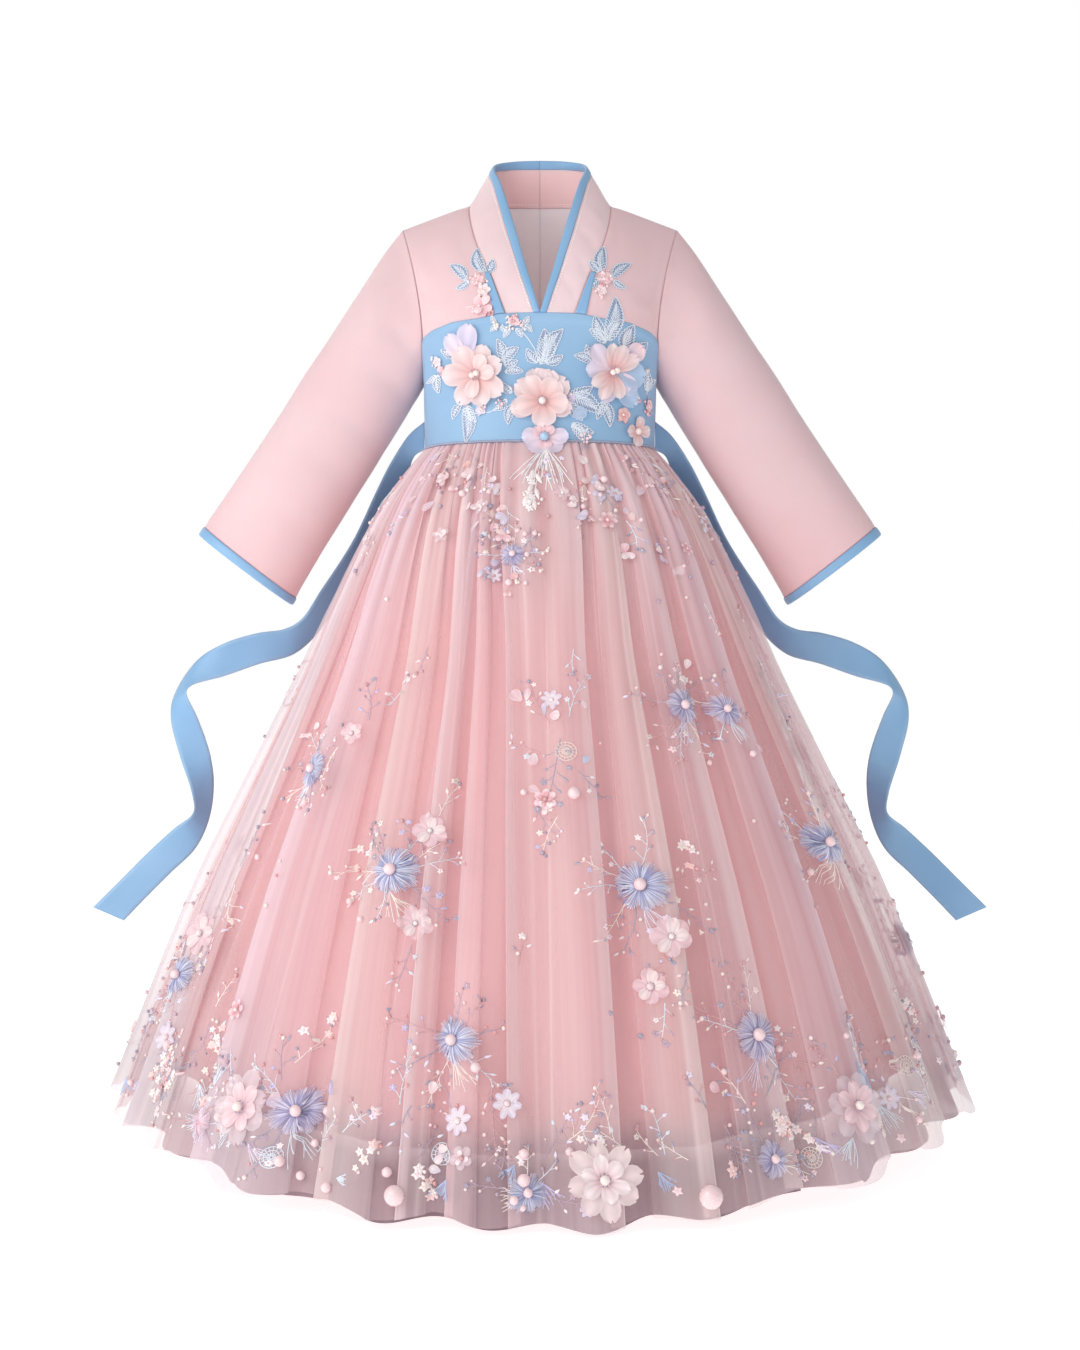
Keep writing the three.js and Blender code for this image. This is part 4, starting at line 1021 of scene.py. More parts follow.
def random_pleats(count, seed, stand):
    draw = np.random.default_rng(seed)
    steps = draw.uniform(0.7, 1.3, count)
    starts = np.concatenate([[0], np.cumsum(steps)])[:-1] / steps.sum() * 360 - 180
    ends = np.append(starts[1:], 180)
    rows = []
    for k, (start, end) in enumerate(zip(starts, ends)):
        left, right = lerp(start, end, 0.18), lerp(start, end, draw.uniform(0.68, 0.8))
        tuck = (end - start) * draw.uniform(0.08, 0.16)
        shade = ("rose", "beige", "rose", "lavender")[k % 4]
        tuck_right, high = tuck * draw.uniform(0.6, 1.3), stand * draw.uniform(0.6, 1.2)
        rows.append((left, right, left, right, tuck, tuck_right, high, shade))
    return rows


def pleat_lines(pleats):
    """Control lines of a pleated layer: hem degrees, waist degrees, height, edge, face and shade.
    A pleat's free edge, beside its wider tuck, is crisp and denser, and pale with a painted highlight;
    painted shade deepens the colour towards the other edge and in the tucks."""
    lines = []
    deep = np.array(NET["deep"])
    for k, (left, right, top_left, top_right, tuck_left, tuck_right, stand, shade) in enumerate(pleats):
        crisp = (0.25, 0.35 * (k % 2), 0.3 * (k % 3 == 0), 1)
        free_right = tuck_right > tuck_left
        # The tucks take the deep colour, painted shade between the pleats.
        lines.append((left + tuck_left, top_left + tuck_left * TUCK_MORE, TUCK_HEIGHT, 0, 0, *deep))
        for (share, high), edge in zip(PLEAT_FACE, crisp if free_right else crisp[::-1]):
            face = FACE_LEAST + (1 - FACE_LEAST) * (share if free_right else 1 - share)
            place = (lerp(left, right, share), lerp(top_left, top_right, share), stand * high)
            # Painted shade: the colour runs from deep at the shaded side to the pleat's own at its pale edge.
            lines.append((*place, edge, face, *lerp(deep, np.array(NET[shade]), face)))
        lines.append((right - tuck_right, top_right - tuck_right * TUCK_MORE, TUCK_HEIGHT, 0, 0, *deep))
    return np.array(lines, float)


def rippled(across, down, seed, rows):
    """Fine gathers: many at the waist, fewer and wider further down."""
    draw = np.random.default_rng(seed)
    total = np.zeros(np.broadcast(across, down).shape)
    for count, height, start, end in rows:
        sway = draw.uniform(0, 2 * np.pi)
        place = across + 1 / count * np.sin(across * 2 * np.pi * draw.integers(5, 11) + sway)
        patchy = 0.75 + 0.25 * np.sin(across * 2 * np.pi * draw.integers(7, 15) + sway * 2)
        fade = smooth((down - start) / 0.06 + (start == 0)) * (1 - smooth((down - start) / (end - start)))
        turn = 2 * np.pi * count * place + 1.5 * np.sin(down * 3 + sway)
        total = total + height * patchy * fade * np.sin(turn)
    return total


def pleated_layer(name, pleats, columns, down, seed, inset, fold, hem_z, finish, shaded=0.0):
    """A layer of net in pleats, as a ring of columns.  shaded is its share of the painted shade below the
    lining.
    """
    lines = pleat_lines(pleats)
    closing = lines[0].copy()
    closing[:2] += 360
    lines = np.vstack([lines, closing])
    steps = np.abs(np.diff(lines[:, 0])) + 0.12 * np.abs(np.diff(lines[:, 2]))
    run = np.concatenate([[0], np.cumsum(steps)])
    place = np.arange(columns) / columns * run[-1]
    hem, top, height, _, face, *shade = (np.interp(place, run, line) for line in lines.T)
    edge = np.max(lines[None, :-1, 3] * np.exp(-((place[:, None] - run[None, :-1]) / 0.3) ** 2), axis=1)
    steady = hem[0] + 360 * np.arange(columns) / columns
    near = np.arange(-6, 7)
    kernel = np.exp(-0.5 * (near / 2.0) ** 2)
    kernel /= kernel.sum()

    def soften(row):
        return sum(np.roll(row, k) * share for k, share in zip(near, kernel))

    hem, top = soften(hem - steady) + steady, soften(top - steady) + steady
    height, face = soften(height), soften(face)
    across = np.arange(columns) / columns
    v = down[:, None]
    angle = hem + (top - hem) * (1 - v) * SIDE_X / smooth_column(SKIRT, v, 1)
    stand = height * lerp(0.22, 1, smooth(v * 3.2)) * smooth(v * 30 + 0.15)
    gathers = rippled(across[None], v, seed, NET_GATHERS)
    grid = skirt_point(angle, v, inset(v), fold, hem_z, stand + gathers, hem[None])
    draw = np.random.default_rng(seed + 1)
    sway = sum(np.sin(2 * np.pi * across * n + draw.uniform(0, 6)) for n in (9, 17, 31)) / 3
    grid[..., 2] -= HEM_SWAY * sway * v**5
    edge = edge * smooth(v * 6)
    ahead = np.cos(np.radians(hem))[None] ** 2
    # Painted shade: below the lining the net turns mauve for the shaded inside of the skirt, less at the
    # sides.
    below = (smooth((v - SHADE_START) / SHADE_DEEPENS) * shaded * lerp(SIDE_SHADE, 1, ahead))[..., None]
    tints = lerp(np.broadcast_to(np.stack(shade, -1), (*angle.shape, 4)), np.array(NET["mauve"]), below)
    bunched = clamp01(0.55 + gathers * 0.22)
    face = lerp(bunched, face, 0.7 * smooth(v * 3))
    near_waist = (1 - smooth(v * 2.8))[..., None]
    # Painted shade in the troughs of the gathers near the waist, and painted light on their crests.
    painted_trough_shade = clamp01(0.4 - gathers * 0.28)[..., None] * near_waist
    tints = lerp(tints, np.array(NET["coral"]), painted_trough_shade * 0.7) + near_waist * (0, 0, 0, WAIST_COVER)
    tints[..., :3] += near_waist * 0.07 * (1 - painted_trough_shade)
    # Painted shade: towards the hem the outer net greys at the sides.
    painted_side_grey = (1 - shaded) * (1 - ahead) * smooth((v - 0.7) / 0.25)
    tints = lerp(tints, np.array(NET["edge"]), 0.5 * painted_side_grey[..., None])
    marks = {"edge": edge, "face": face}
    return cloth_piece(name, grid, outwards(grid), finish, 0, True, marks, tints)


def outwards(grid):
    """Normals of a layer of the skirt, turned away from its axis 40 mm lower than each point."""
    return normals_of(grid, grid * (0, 0, 1) - (0, 0, 40), True)


def outer_tulle():
    return pleated_layer(
        "tulle_outer", PLEATS, columns=1296, down=np.linspace(0, 1, 73) ** 1.25, seed=21,
        inset=lambda v: 4 * np.sin(np.pi * clamp01(v * 1.6)), fold=1.0, hem_z=HEM_Z, finish=outer_net(),
    )


def under_tulle():
    return pleated_layer(
        "tulle_under", random_pleats(26, 33, 3.0), columns=640, down=np.linspace(0, 1, 41) ** 1.25, seed=22,
        inset=lambda v: 3 + 6 * smooth(v * 1.4), fold=0.95, hem_z=HEM_Z - 4, finish=under_net(), shaded=1.0,
    )


def skirt_lining():
    down = np.linspace(0, 1, 33)[:, None] ** 1.1 * LINING_DOWN
    across = np.arange(360)[None] / 360
    swell = rippled(across, down, 23, LINING_SWELLS)
    grid = skirt_point(across * 360 - 180, down, 4.4 + 21.6 * smooth(down * 1.5), 0.35, HEM_Z, swell)
    return cloth_piece("lining_cloth", grid, outwards(grid), coral_lining(), LINING_THICK, True)


def skirt():
    layers = (
        (outer_tulle(), "tulle", "skirt_tulle_outer", "outer"),
        (under_tulle(), "under_tulle", "skirt_tulle_under", "under"),
        (skirt_lining(), "lining", "skirt_lining", "lining"),
    )
    for layer, slot, node, cut in layers:
        finished(layer, slot, [node], cut)
    return layers[0][0]


# ------------------------------------------------------------ small things sewn on
# A colour with its cover, for dyes and for painted shade.
def dye_and_shade(red, green, blue, cover=1.0):
    return np.array((*rgb(red, green, blue), cover))


PEACH_DEEP, PEACH, PEACH_PALE = dye_and_shade(232, 158, 154), dye_and_shade(252, 204, 200, 0.97), dye_and_shade(252, 226, 226, 0.88)
ROSE, BLUSH, CREAM = dye_and_shade(240, 170, 180), dye_and_shade(255, 218, 224, 0.97), dye_and_shade(255, 238, 240, 0.98)
LILAC, LILAC_PALE, SKY = dye_and_shade(196, 182, 226, 0.92), dye_and_shade(234, 222, 244, 0.88), dye_and_shade(184, 208, 240, 0.7)
# The last of these is the painted shadow under the lace leaves.
SILVER_BLUE, SILVER, LACE_SHADOW_BLUE = dye_and_shade(172, 192, 222), dye_and_shade(222, 230, 242), dye_and_shade(88, 116, 164)
MAUVE, DUSTY, PEARL, CORAL = dye_and_shade(176, 140, 166), dye_and_shade(206, 144, 150), dye_and_shade(252, 234, 228), dye_and_shade(230, 150, 150)
MIST, HAZE = dye_and_shade(252, 214, 224, 0.68), dye_and_shade(250, 232, 240, 0.52)
SAND, TUFT_BLUE, WHITE = dye_and_shade(228, 208, 200), dye_and_shade(170, 186, 226), dye_and_shade(254, 246, 246)
IVORY, STEEL, POM, NAVY = dye_and_shade(250, 234, 224), dye_and_shade(150, 140, 168), dye_and_shade(250, 214, 218), dye_and_shade(70, 78, 130)


# How deep a petal is cupped, beside its width.
PETAL_CUP = 0.07
# How far outside the skirt, and in front of the bodice, the search for the cloth starts, in mm.
OUTSIDE, IN_FRONT = 700, 400.0
# Above this radius in mm a bead has more sides.
LARGE_BEAD, LARGE_RAISED = 2.2, 1


class Heap:
    """Many small things gathered into one mesh."""

    def __init__(self):
        self.points, self.faces, self.tints, self.count = [], [], [], 0

    def sheet(self, points, tint, ring=False):
        """A grid of points, rows by columns, with one colour or a colour for each point."""
        number = self.count + numbers(points)
        self.faces.append(corners(joined_up(number) if ring else number))
        self.points.append(points.reshape(-1, 3))
        self.tints.append(np.broadcast_to(tint, (*points.shape[:2], 4)).reshape(-1, 4))
        self.count += number.size

    def piece(self, name, finish, slot, nodes=()):
        points, faces, tints = (np.concatenate(rows) for rows in (self.points, self.faces, self.tints))
        finished(mesh_piece(name, points, [faces], finish, tints=tints), slot, nodes)


class Seat:
    """A place on the dress.  x runs to the wearer's left, y up along the cloth and z out of it."""

    def __init__(self, tree, ray):
        self.tree, self.ray = tree, ray
        tries = [self.hit(x, y) for x, y in ((0, 0), (7, 0), (-7, 0), (0, 7), (0, -7))]
        around = [found for found in tries if found is not None]
        self.middle = around[0][0]
        self.out = unit(sum(normal for _, normal in around))
        up = np.array((0, 0, 1.0))
        self.up = unit(up - self.out * (up @ self.out))
        self.left = np.cross(self.up, self.out)

    def hit(self, x, y):
        start, way = self.ray(x, y)
        place, normal, _, _ = self.tree.ray_cast(Vector(start), Vector(way))
        if place is None:
            return None
        normal = np.array(normal)
        return np.array(place), normal if normal @ way < 0 else -normal

    def stiff(self, points):
        """Points that keep their form, as on a flat place."""
        x, y, z = (points[..., k:k + 1] for k in range(3))
        return self.middle + x * self.left + y * self.up + z * self.out

    def over(self, points):
        """Stiff points, but nowhere under the cloth."""
        made = self.stiff(points)
        for k in np.ndindex(points.shape[:-1]):
            found = self.hit(*points[k][:2])
            if found:
                made[k] += self.out * max(0, (found[0] - made[k]) @ self.out + 0.7)
        return made

    def drape(self, points):
        """Points that follow the cloth."""
        made = np.empty(points.shape)
        for k in np.ndindex(points.shape[:-1]):
            x, y, z = points[k]
            place, normal = self.hit(x, y) or (self.middle + self.left * x + self.up * y, self.out)
            made[k] = place + normal * z
        return made


def skirt_seat(tree, degrees, down):
    angle = math.radians(degrees)
    base = skirt_point(degrees, down, line=degrees)
    radius = math.hypot(base[0], base[1])
    lower = skirt_point(degrees, min(1, down + 0.05), line=degrees)
    upper = skirt_point(degrees, max(0, down - 0.05), line=degrees)
    slope = unit(upper - lower)[2]

    def ray(x, y):
        a = angle + x / radius
        way = np.array((-math.sin(a), math.cos(a), 0))
        return -way * OUTSIDE + (0, 0, base[2] + y * slope), way

    return Seat(tree, ray)


def front_seat(tree, x, z):
    return Seat(tree, lambda u, v: (np.array((x + u, -IN_FRONT, z + v)), np.array((0, 1.0, 0))))


def heading(degrees):
    """A direction on the cloth, clockwise from straight up."""
    return np.array((math.sin(math.radians(degrees)), math.cos(math.radians(degrees))))


def thread(heap, seat, line, width, tint, lift=0.2, taper=0.0):
    """A thread or cord laid along a line of (x, y) or (x, y, z) places, as a low ridge."""
    line = np.asarray(line, float)
    rise = line[:, 2] if line.shape[1] > 2 else np.zeros(len(line))
    flat = line[:, :2]
    along = unit(np.gradient(flat, axis=0))
    side = np.stack([-along[:, 1], along[:, 0]], 1)
    wide = width / 2 * (1 - taper * np.linspace(0, 1, len(line)))
    across = np.array((-1.0, 0.0, 1.0))
    place = flat[:, None] + side[:, None] * (wide[:, None] * across)[..., None]
    height = lift + rise[:, None] + wide[:, None] * 1.5 * (1 - np.abs(across))
    heap.sheet(seat.drape(np.concatenate([place, height[..., None]], -1)), tint)


def ball(heap, middle, radius, tint, sides, rows):
    around = np.arange(sides) * 2 * np.pi / sides
    down = np.linspace(0.04, np.pi - 0.04, rows)[:, None]
    form = spot(np.sin(down) * np.cos(around), np.sin(down) * np.sin(around), np.cos(down))
    heap.sheet(middle + form * radius, tint, True)


def bead(heap, seat, radius, tint, x=0, y=0, lift=0.7):
    """A bead on the cloth, its middle lift times its radius above it."""
    sides = (10, 8) if radius > LARGE_BEAD else (6, 5)
    ball(heap, seat.drape(spot(x, y, radius * lift)), radius, tint, *sides)


def raised_bead(heap, seat, x, y, z, radius, tint):
    """A bead at a height of its own, on the heart of a flower."""
    sides = (12, 9) if radius > LARGE_RAISED else (6, 4)
    ball(heap, seat.stiff(spot(x, y, z)), radius, tint, *sides)


def leaflet(heap, seat, base, degrees, length, width, tint, tip=None):
    """A small almond-shaped leaf or seed."""
    way = heading(degrees)
    side = np.array((way[1], -way[0]))
    v = np.linspace(0.02, 0.98, 5)
    half = width / 2 * np.sin(np.pi * v**0.8)
    middle = np.asarray(base)[None] + way * (v * length)[:, None]
    place = middle[:, None] + side * (half[:, None] * (-1, 0, 1))[..., None]
    height = 0.4 + half[:, None] * (0, 0.9, 0)
    tints = tint if tip is None else lerp(tint, tip, v[:, None, None])
    heap.sheet(seat.drape(np.concatenate([place, height[..., None]], -1)), tints)


def lace_leaf(heap, seat, tip, share, bend, tint=SILVER_BLUE):
    """A leaf of lace: a scalloped cord on a painted shadow, a dark sheet a little wider than the cord, a
    midrib, and slanting loops.  share is its width beside its length."""
    tip = np.array(tip, float)
    long = np.linalg.norm(tip)
    way = tip / long
    side = np.array((way[1], -way[0]))
    steep = math.degrees(math.atan2(way[0], way[1]))

    def half(t):
        return long * share / 2 * np.sin(np.pi * np.minimum(1, t) ** 0.85) ** 0.8

    def spine(t):
        return way * (t * long)[:, None] + side * (bend * long * np.sin(np.pi * t) * 0.6)[:, None]

    t = np.linspace(0, 1, 9)
    # Painted shadow: a dark sheet under the lace, wider than its cord.
    painted_shadow = spine(t)[:, None] + side * ((half(t) + 0.7)[:, None] * np.linspace(-1, 1, 5))[..., None]
    heap.sheet(seat.drape(np.concatenate([painted_shadow, np.full((9, 5, 1), 0.2)], -1)), LACE_SHADOW_BLUE)
    count = max(4, int(long / 2.7))
    t = np.linspace(0, 1, 6 * count)
    scallop = 0.74 + 0.44 * np.abs(np.sin(t * count * np.pi)) ** 0.7
    for sign in (-1, 1):
        thread(heap, seat, spine(t) + side * (sign * half(t) * scallop)[:, None], 0.8, SILVER, 0.5)
        for n in range(count):
            start = 0.05 + 0.8 * n / count
            foot = spine(np.array([start]))[0]
            size = half(min(0.97, start + 0.14)) * 1.15
            lean = steep + sign * (46 - 14 * start)
            leaflet(heap, seat, foot, lean, size, 1.25, SILVER, tint if n % 2 else SILVER)
    thread(heap, seat, spine(t), 0.85, SILVER, 0.7, 0.4)


def star(heap, beads, seat, radius, tint, centre, seed, x=0, y=0):
    """A tiny flower of five leaflets round a bead."""
    for k in range(5):
        leaflet(heap, seat, (x, y), seed * 40 + k * 360 / 5, radius, radius * 0.66, tint)
    bead(beads, seat, radius * 0.26, centre, x, y)


def petal(heap, seat, degrees, length, width, rise, inner, outer, start=0, notch=0.1, phase=0, x=0, y=0):
    """One organza petal: narrow foot, broad soft tip, cupped and a little ruffled."""
    u, v = np.linspace(-1, 1, 8)[None], np.linspace(0, 1, 9)[:, None]
    round_tip = np.sqrt(1 - np.clip((v - 0.66) / 0.35, 0, 1) ** 2)
    half = width / 2 * (0.2 + 0.8 * np.sin(np.pi / 2 * np.minimum(1, v / 0.62))) * round_tip
    along = start + length * (v - notch * np.exp(-(u / 0.3) ** 2) * v**4)
    across = u * half
    height = 0.8 + rise * np.sin(v * 2.1) + PETAL_CUP * width * u**2 * v * (1 - 0.4 * v)
    height = height + 0.05 * width * np.sin(u * 4 + phase * 3 + v * 2) * v**2
    side, ahead = math.sin(math.radians(degrees)), math.cos(math.radians(degrees))
    place = spot(x + across * ahead + along * side, y + along * ahead - across * side, height)
    share = clamp01(v * 1.1 + 0.25 * u**2 * v)[..., None]
    vein = (0.9 + 0.1 * np.cos(u * 9 * (1.2 - v)))[..., None] * (1, 1, 1, 0) + (0, 0, 0, 1)
    heap.sheet(seat.over(place), lerp(inner, outer, share) * vein)


def organza_flower(heap, beads, seat, radius, rings, heart, seed, heart_size, pearls=1):
    """Rings of petals round a pearl or two, with a ring of small dark beads.  A ring is a count of
    petals or their directions, their length, width and rise beside the radius, and their colour at
    the foot and at the tip."""
    draw = np.random.default_rng(seed)
    for n, (turns, reach, wide, rise, inner, outer) in enumerate(rings):
        if isinstance(turns, int):
            turns = [(k + 0.5 * n) * 360 / turns + seed * 17 for k in range(turns)]
        for k, degrees in enumerate(turns):
            degrees += draw.uniform(-6, 6)
            length = radius * reach * draw.uniform(0.9, 1.06)
            width = radius * wide * draw.uniform(0.9, 1.1)
            height = radius * rise * draw.uniform(0.7, 1.3)
            notch = draw.uniform(0, 0.14)
            petal(heap, seat, degrees, length, width, height, inner, outer, 0.03 * radius, notch, k + n)
    high = radius * (0.12 + 0.06 * len(rings))
    for x in ((-0.07, 0.07) if pearls == 2 else (0,)):
        raised_bead(beads, seat, x * radius, x * radius * 0.4, high, radius * heart_size / pearls**0.4, heart)
    for k in range(9):
        way = heading(k * 40) * radius * (heart_size + 0.03)
        raised_bead(beads, seat, *way, high * 0.75, radius * 0.025 + 0.15, STEEL)


def thread_daisy(heap, beads, seat, radius, inner, outer, heart, seed, petals=10):
    """Petals of fine radiating threads round a pale pompom, deep at the heart and pale at their tips,
    on a ring of darker threads that fills the spaces between them."""
    draw = np.random.default_rng(seed)
    t = np.array((0.14, 0.34, 0.62, 0.84, 1.0))
    dark = lerp(heart, inner, clamp01(t * 1.5)[:, None])[:, None]
    for degrees in np.arange(0, 360, 9):
        way = heading(degrees + draw.uniform(-3, 3)) * radius * draw.uniform(0.74, 0.94)
        line = np.column_stack([way * t[:, None], radius * 0.06 * np.sin(np.pi * t)])
        thread(heap, seat, line, 0.06 * radius, dark, 0.3, 0.4)
    for k in range(petals):
        middle = (k + draw.uniform(-0.1, 0.1)) * 360 / petals + seed * 13
        reach = radius * draw.uniform(0.9, 1.04)
        for fan_share in np.linspace(-1, 1, 11):
            long = reach * (1 - 0.16 * fan_share**2) * draw.uniform(0.9, 1.04)
            way = heading(middle + fan_share * 168 / petals)
            bulge = 0.14 * np.sin(np.pi * t * 0.9) + 0.05 * (1 - fan_share**2)
            rise = radius * (bulge + draw.uniform(0, 0.03))
            shade = lerp(inner, outer, clamp01(draw.choice((-0.3, 0.1, 1.0)) + (t - 0.35) * 1.5)[:, None])
            shade = lerp(heart, shade, clamp01((t - 0.04) * 3.6 - 0.4 * fan_share**4)[:, None])
            line = np.column_stack([way * (t * long)[:, None], rise])
            thread(heap, seat, line, 0.04 * radius, shade[:, None], 0.5, 0.5)
    raised_bead(beads, seat, 0, 0, radius * 0.28, radius * 0.23, POM)


def lace_round(heap, seat, tint, radius=8.5):
    """A little round of lace: three rings and crossing spokes."""
    for share in (0.35, 0.66, 1.0):
        thread(heap, seat, [heading(d) * radius * share for d in np.linspace(0, 360, 19)], 0.8, tint, 0.5)
    for degrees in np.arange(0, 360, 24):
        thread(heap, seat, [heading(degrees + 20) * radius * 0.1, heading(degrees) * radius], 0.6, tint, 0.4)


def fan(heap, seat, degrees, length, spread, count, tint, seed, width=0.6, y=0):
    """A fan of fine loose threads."""
    draw = np.random.default_rng(seed)
    for share in np.linspace(-1, 1, count):
        way, side = heading(degrees + share * spread), heading(degrees + 90)
        t = np.linspace(0, 1, 6)[:, None]
        long = length * draw.uniform(0.65, 1.05)
        bow = draw.uniform(-0.08, 0.08)
        thread(heap, seat, (0, y) + way * t * long + side * bow * long * np.sin(np.pi * t), width, tint, 0.3)


STEMS = (IVORY, STEEL, DUSTY, SILVER, MAUVE)
FRUITS = ((DUSTY, POM, MAUVE), (POM, PEARL, CORAL), (MAUVE, PEARL, STEEL))
LEAVES = ((IVORY, BLUSH), (STEEL, LILAC), (CREAM, MAUVE), (SILVER, LILAC_PALE))


def sprig(heap, beads, seat, degrees, length, seed, foot=(0, 0)):
    """A bent stem with short twigs that end in beads, seeds or tiny flowers."""
    stem, fruits, leaves = STEMS[seed % 5], FRUITS[seed % 3], LEAVES[seed % 4]
    draw = np.random.default_rng(seed)
    bend = draw.uniform(-0.35, 0.35)
    t = np.linspace(0, 1, 8)
    way, side = heading(degrees), heading(degrees + 90)
    line = foot + way * (t * length)[:, None] + side * (bend * length * t * (1 - t))[:, None]
    thread(heap, seat, line, 0.85, stem, 0.25, 0.4)
    count = max(3, int(length / 6))
    for n in range(count):
        share = (n + 0.7) / count
        root = np.array([np.interp(share, t, line[:, k]) for k in (0, 1)])
        lean = degrees + (1 if n % 2 else -1) * draw.uniform(25, 60)
        long = length * draw.uniform(0.12, 0.28) * (1.1 - 0.5 * share) + 1.5
        end = root + heading(lean) * long
        thread(heap, seat, (root, (root + end) / 2 + way * 0.06 * long, end), 0.65, stem, 0.25, 0.3)
        kind = draw.integers(0, 5)
        pick = fruits[draw.integers(len(fruits))]
        leaf = leaves[draw.integers(len(leaves))]
        if kind < 2:
            bead(beads, seat, draw.uniform(0.9, 1.7), pick, *end)
        elif kind < 4:
            long, wide = draw.uniform(3.5, 6.5), draw.uniform(1.6, 2.6)
            leaflet(heap, seat, end - heading(lean) * 1.5, lean, long, wide, leaf)
        else:
            star(heap, beads, seat, draw.uniform(2.4, 3.6), leaf, pick, n, *end)
    bead(beads, seat, draw.uniform(1.2, 2.2), fruits[seed % 3], *line[-1])


def cluster(beads, seat, radius, count, tints, seed):
    """A knot of beads."""
    draw = np.random.default_rng(seed)
    for _ in range(count):
        way = heading(draw.uniform(0, 360)) * radius * math.sqrt(draw.uniform(0, 1))
        bead(beads, seat, draw.uniform(0.9, 1.7), tints[draw.integers(len(tints))], *way, 0.9)


def organza():
    """Stiff, slightly see-through petals."""
    f = Finish("petal organza", roughness=0.5, sheen=0.3, specular=0.3)
    grain = f.cloud(1300, 2)
    colour = f.mix(grain * 0.25, f.tint(), rgb(255, 250, 248))
    # A painted glow brightens the petals, their shaded parts too.
    f.painted_glow(colour, 0.05)
    f.feed("Alpha", f.tint_cover() - grain * 0.08)
    f.relief(grain, 0.2, 0.1)
    return f.material


def embroidery():
    """Rayon thread, its twist a fine change of shade."""
    f = Finish("embroidery thread", roughness=0.38, sheen=0.2, specular=0.5)
    twist = f.cloud(1800, 2)
    colour = f.mix(twist * 0.4, f.tint(), rgb(255, 255, 255))
    # A painted glow brightens the threads.
    f.painted_glow(colour, 0.04)
    f.relief(twist, 0.5, 0.15)
    return f.material


def pearly():
    f = Finish("pearly beads", roughness=0.25, coat=0.4, specular=0.6)
    cloud = f.cloud(500, 1)
    f.feed("Base Color", f.mix(cloud * 0.35, f.tint(), rgb(255, 248, 246)))
    f.feed("Roughness", cloud * 0.2 + 0.18)
    return f.material


# ------------------------------------------------------------ stitches and the waist braid
def stitches(heap, line, out, tint, long=2.4, gap=1.0, width=0.9):
    """A row of short raised stitches along a line of points; out points away from the cloth."""
    run = lengths(line[:, None], 0)[:, 0]
    across = np.array((-1.0, 0.0, 1.0))[None, :, None]
    high = (0.5 - 0.35 * np.abs(across)) * np.array((0.2, 1, 1, 0.2))[:, None, None]
    for start in np.arange(gap, run[-1] - long, long + gap):
        t = start + np.linspace(0, 1, 4) * long
        middle, up = (np.stack([np.interp(t, run, rows[:, k]) for k in range(3)], -1) for rows in (line, out))
        side = unit(np.cross(np.gradient(middle, axis=0), up)) * width / 2
        heap.sheet(middle[:, None] + side[:, None] * across + up[:, None] * high, tint)


def braid(heap, line, out, width=2.3, lay=4.2):
    """Two cords twisted round each other along a line; lay is one full turn in mm."""
    run = lengths(line[:, None], 0)[:, 0]
    side = unit(np.cross(out, np.gradient(line, axis=0)))
    around = np.arange(5) * 2 * np.pi / 5
    for strand in (0, 1):
        phase = 2 * np.pi * run / lay + np.pi * strand
        beside, above = (np.sin(phase) * width * 0.25)[:, None], (np.cos(phase) * width * 0.15)[:, None]
        core = line + side * beside + out * above
        ring = side[:, None] * np.cos(around)[:, None] + out[:, None] * np.sin(around)[:, None]
        # Painted shade: each strand is lighter where it lies on top and darker where it dips under the other.
        shade = lerp(dye_and_shade(80, 90, 124), dye_and_shade(150, 158, 190), (0.5 + 0.5 * np.cos(phase))[:, None, None])
        heap.sheet(core[:, None] + ring * width * 0.28, shade, True)


def waist_braid():
    heap = Heap()
    for face in (-1, 1):
        line = band_point(face)(np.linspace(-1, 1, 600), 0.99)
        out = unit(line * (1, 1, 0))
        braid(heap, line + out * 0.5, out)
    heap.piece("waist_braid", EMBROIDERY, "lace_thread")


# Rows of stitches on the collar: share across it, where they start, outside or inside, and colour.
COLLAR_ROWS = ((0.245, 0.02, 1, dye_and_shade(255, 240, 236)), (0.93, 0.6, -1, dye_and_shade(252, 226, 222)))


def collar_stitches():
    """Pale stitches beside the neck binding, and above the seam inside the back of the neck."""
    heap = Heap()
    beside = np.array((-0.02, 0, 0.02))[:, None]
    for _, sign in SIDES:
        for share, start, side, tint in COLLAR_ROWS:
            rows = collar_point(np.linspace(start, 0.995, 300)[None], share + beside)
            out = normals_of(rows, NECK_MIDDLE)[1] * side
            line = rows[1] + out * (0 if side > 0 else COLLAR_THICK + 0.1)
            stitches(heap, flipped(line, sign), flipped(out, sign), tint)
    heap.piece("collar_stitches", EMBROIDERY, "lace_thread")


# ------------------------------------------------------------ where the trimming goes
ORGANZA, EMBROIDERY, PEARLY = organza(), embroidery(), pearly()
# Rings of petals, as organza_flower takes them.
PEACH_RINGS = (
    ((-92, -34, 22, 74, 122, 168, 216), 1.0, 0.68, 0.1, PEACH_DEEP, PEACH_PALE),
    ((28, 84, 182), 0.68, 0.46, 0.2, PEACH, PEACH_PALE),
)
LONG_RINGS = (
    ((-84, -40, 128, 200), 0.96, 0.58, 0.07, BLUSH, LILAC_PALE),
    ((-8, 24, 58, 168, 204, -118), 0.9, 0.44, 0.15, PEACH_DEEP, PEACH_PALE),
)
BROAD_RINGS = (
    ((-58, -4, 52, 106, 254), 1.04, 0.7, 0.05, BLUSH, PEACH_PALE),
    ((-36, 34, 100, 180, 256), 0.88, 0.74, 0.13, PEACH_DEEP, PEACH_PALE),
)
LOW_RINGS = (
    ((-84, -132, 132, 84), 1.1, 0.9, 0.1, BLUSH, LILAC_PALE), ((-34, 26, 178), 0.66, 0.66, 0.16, ROSE, BLUSH),
)
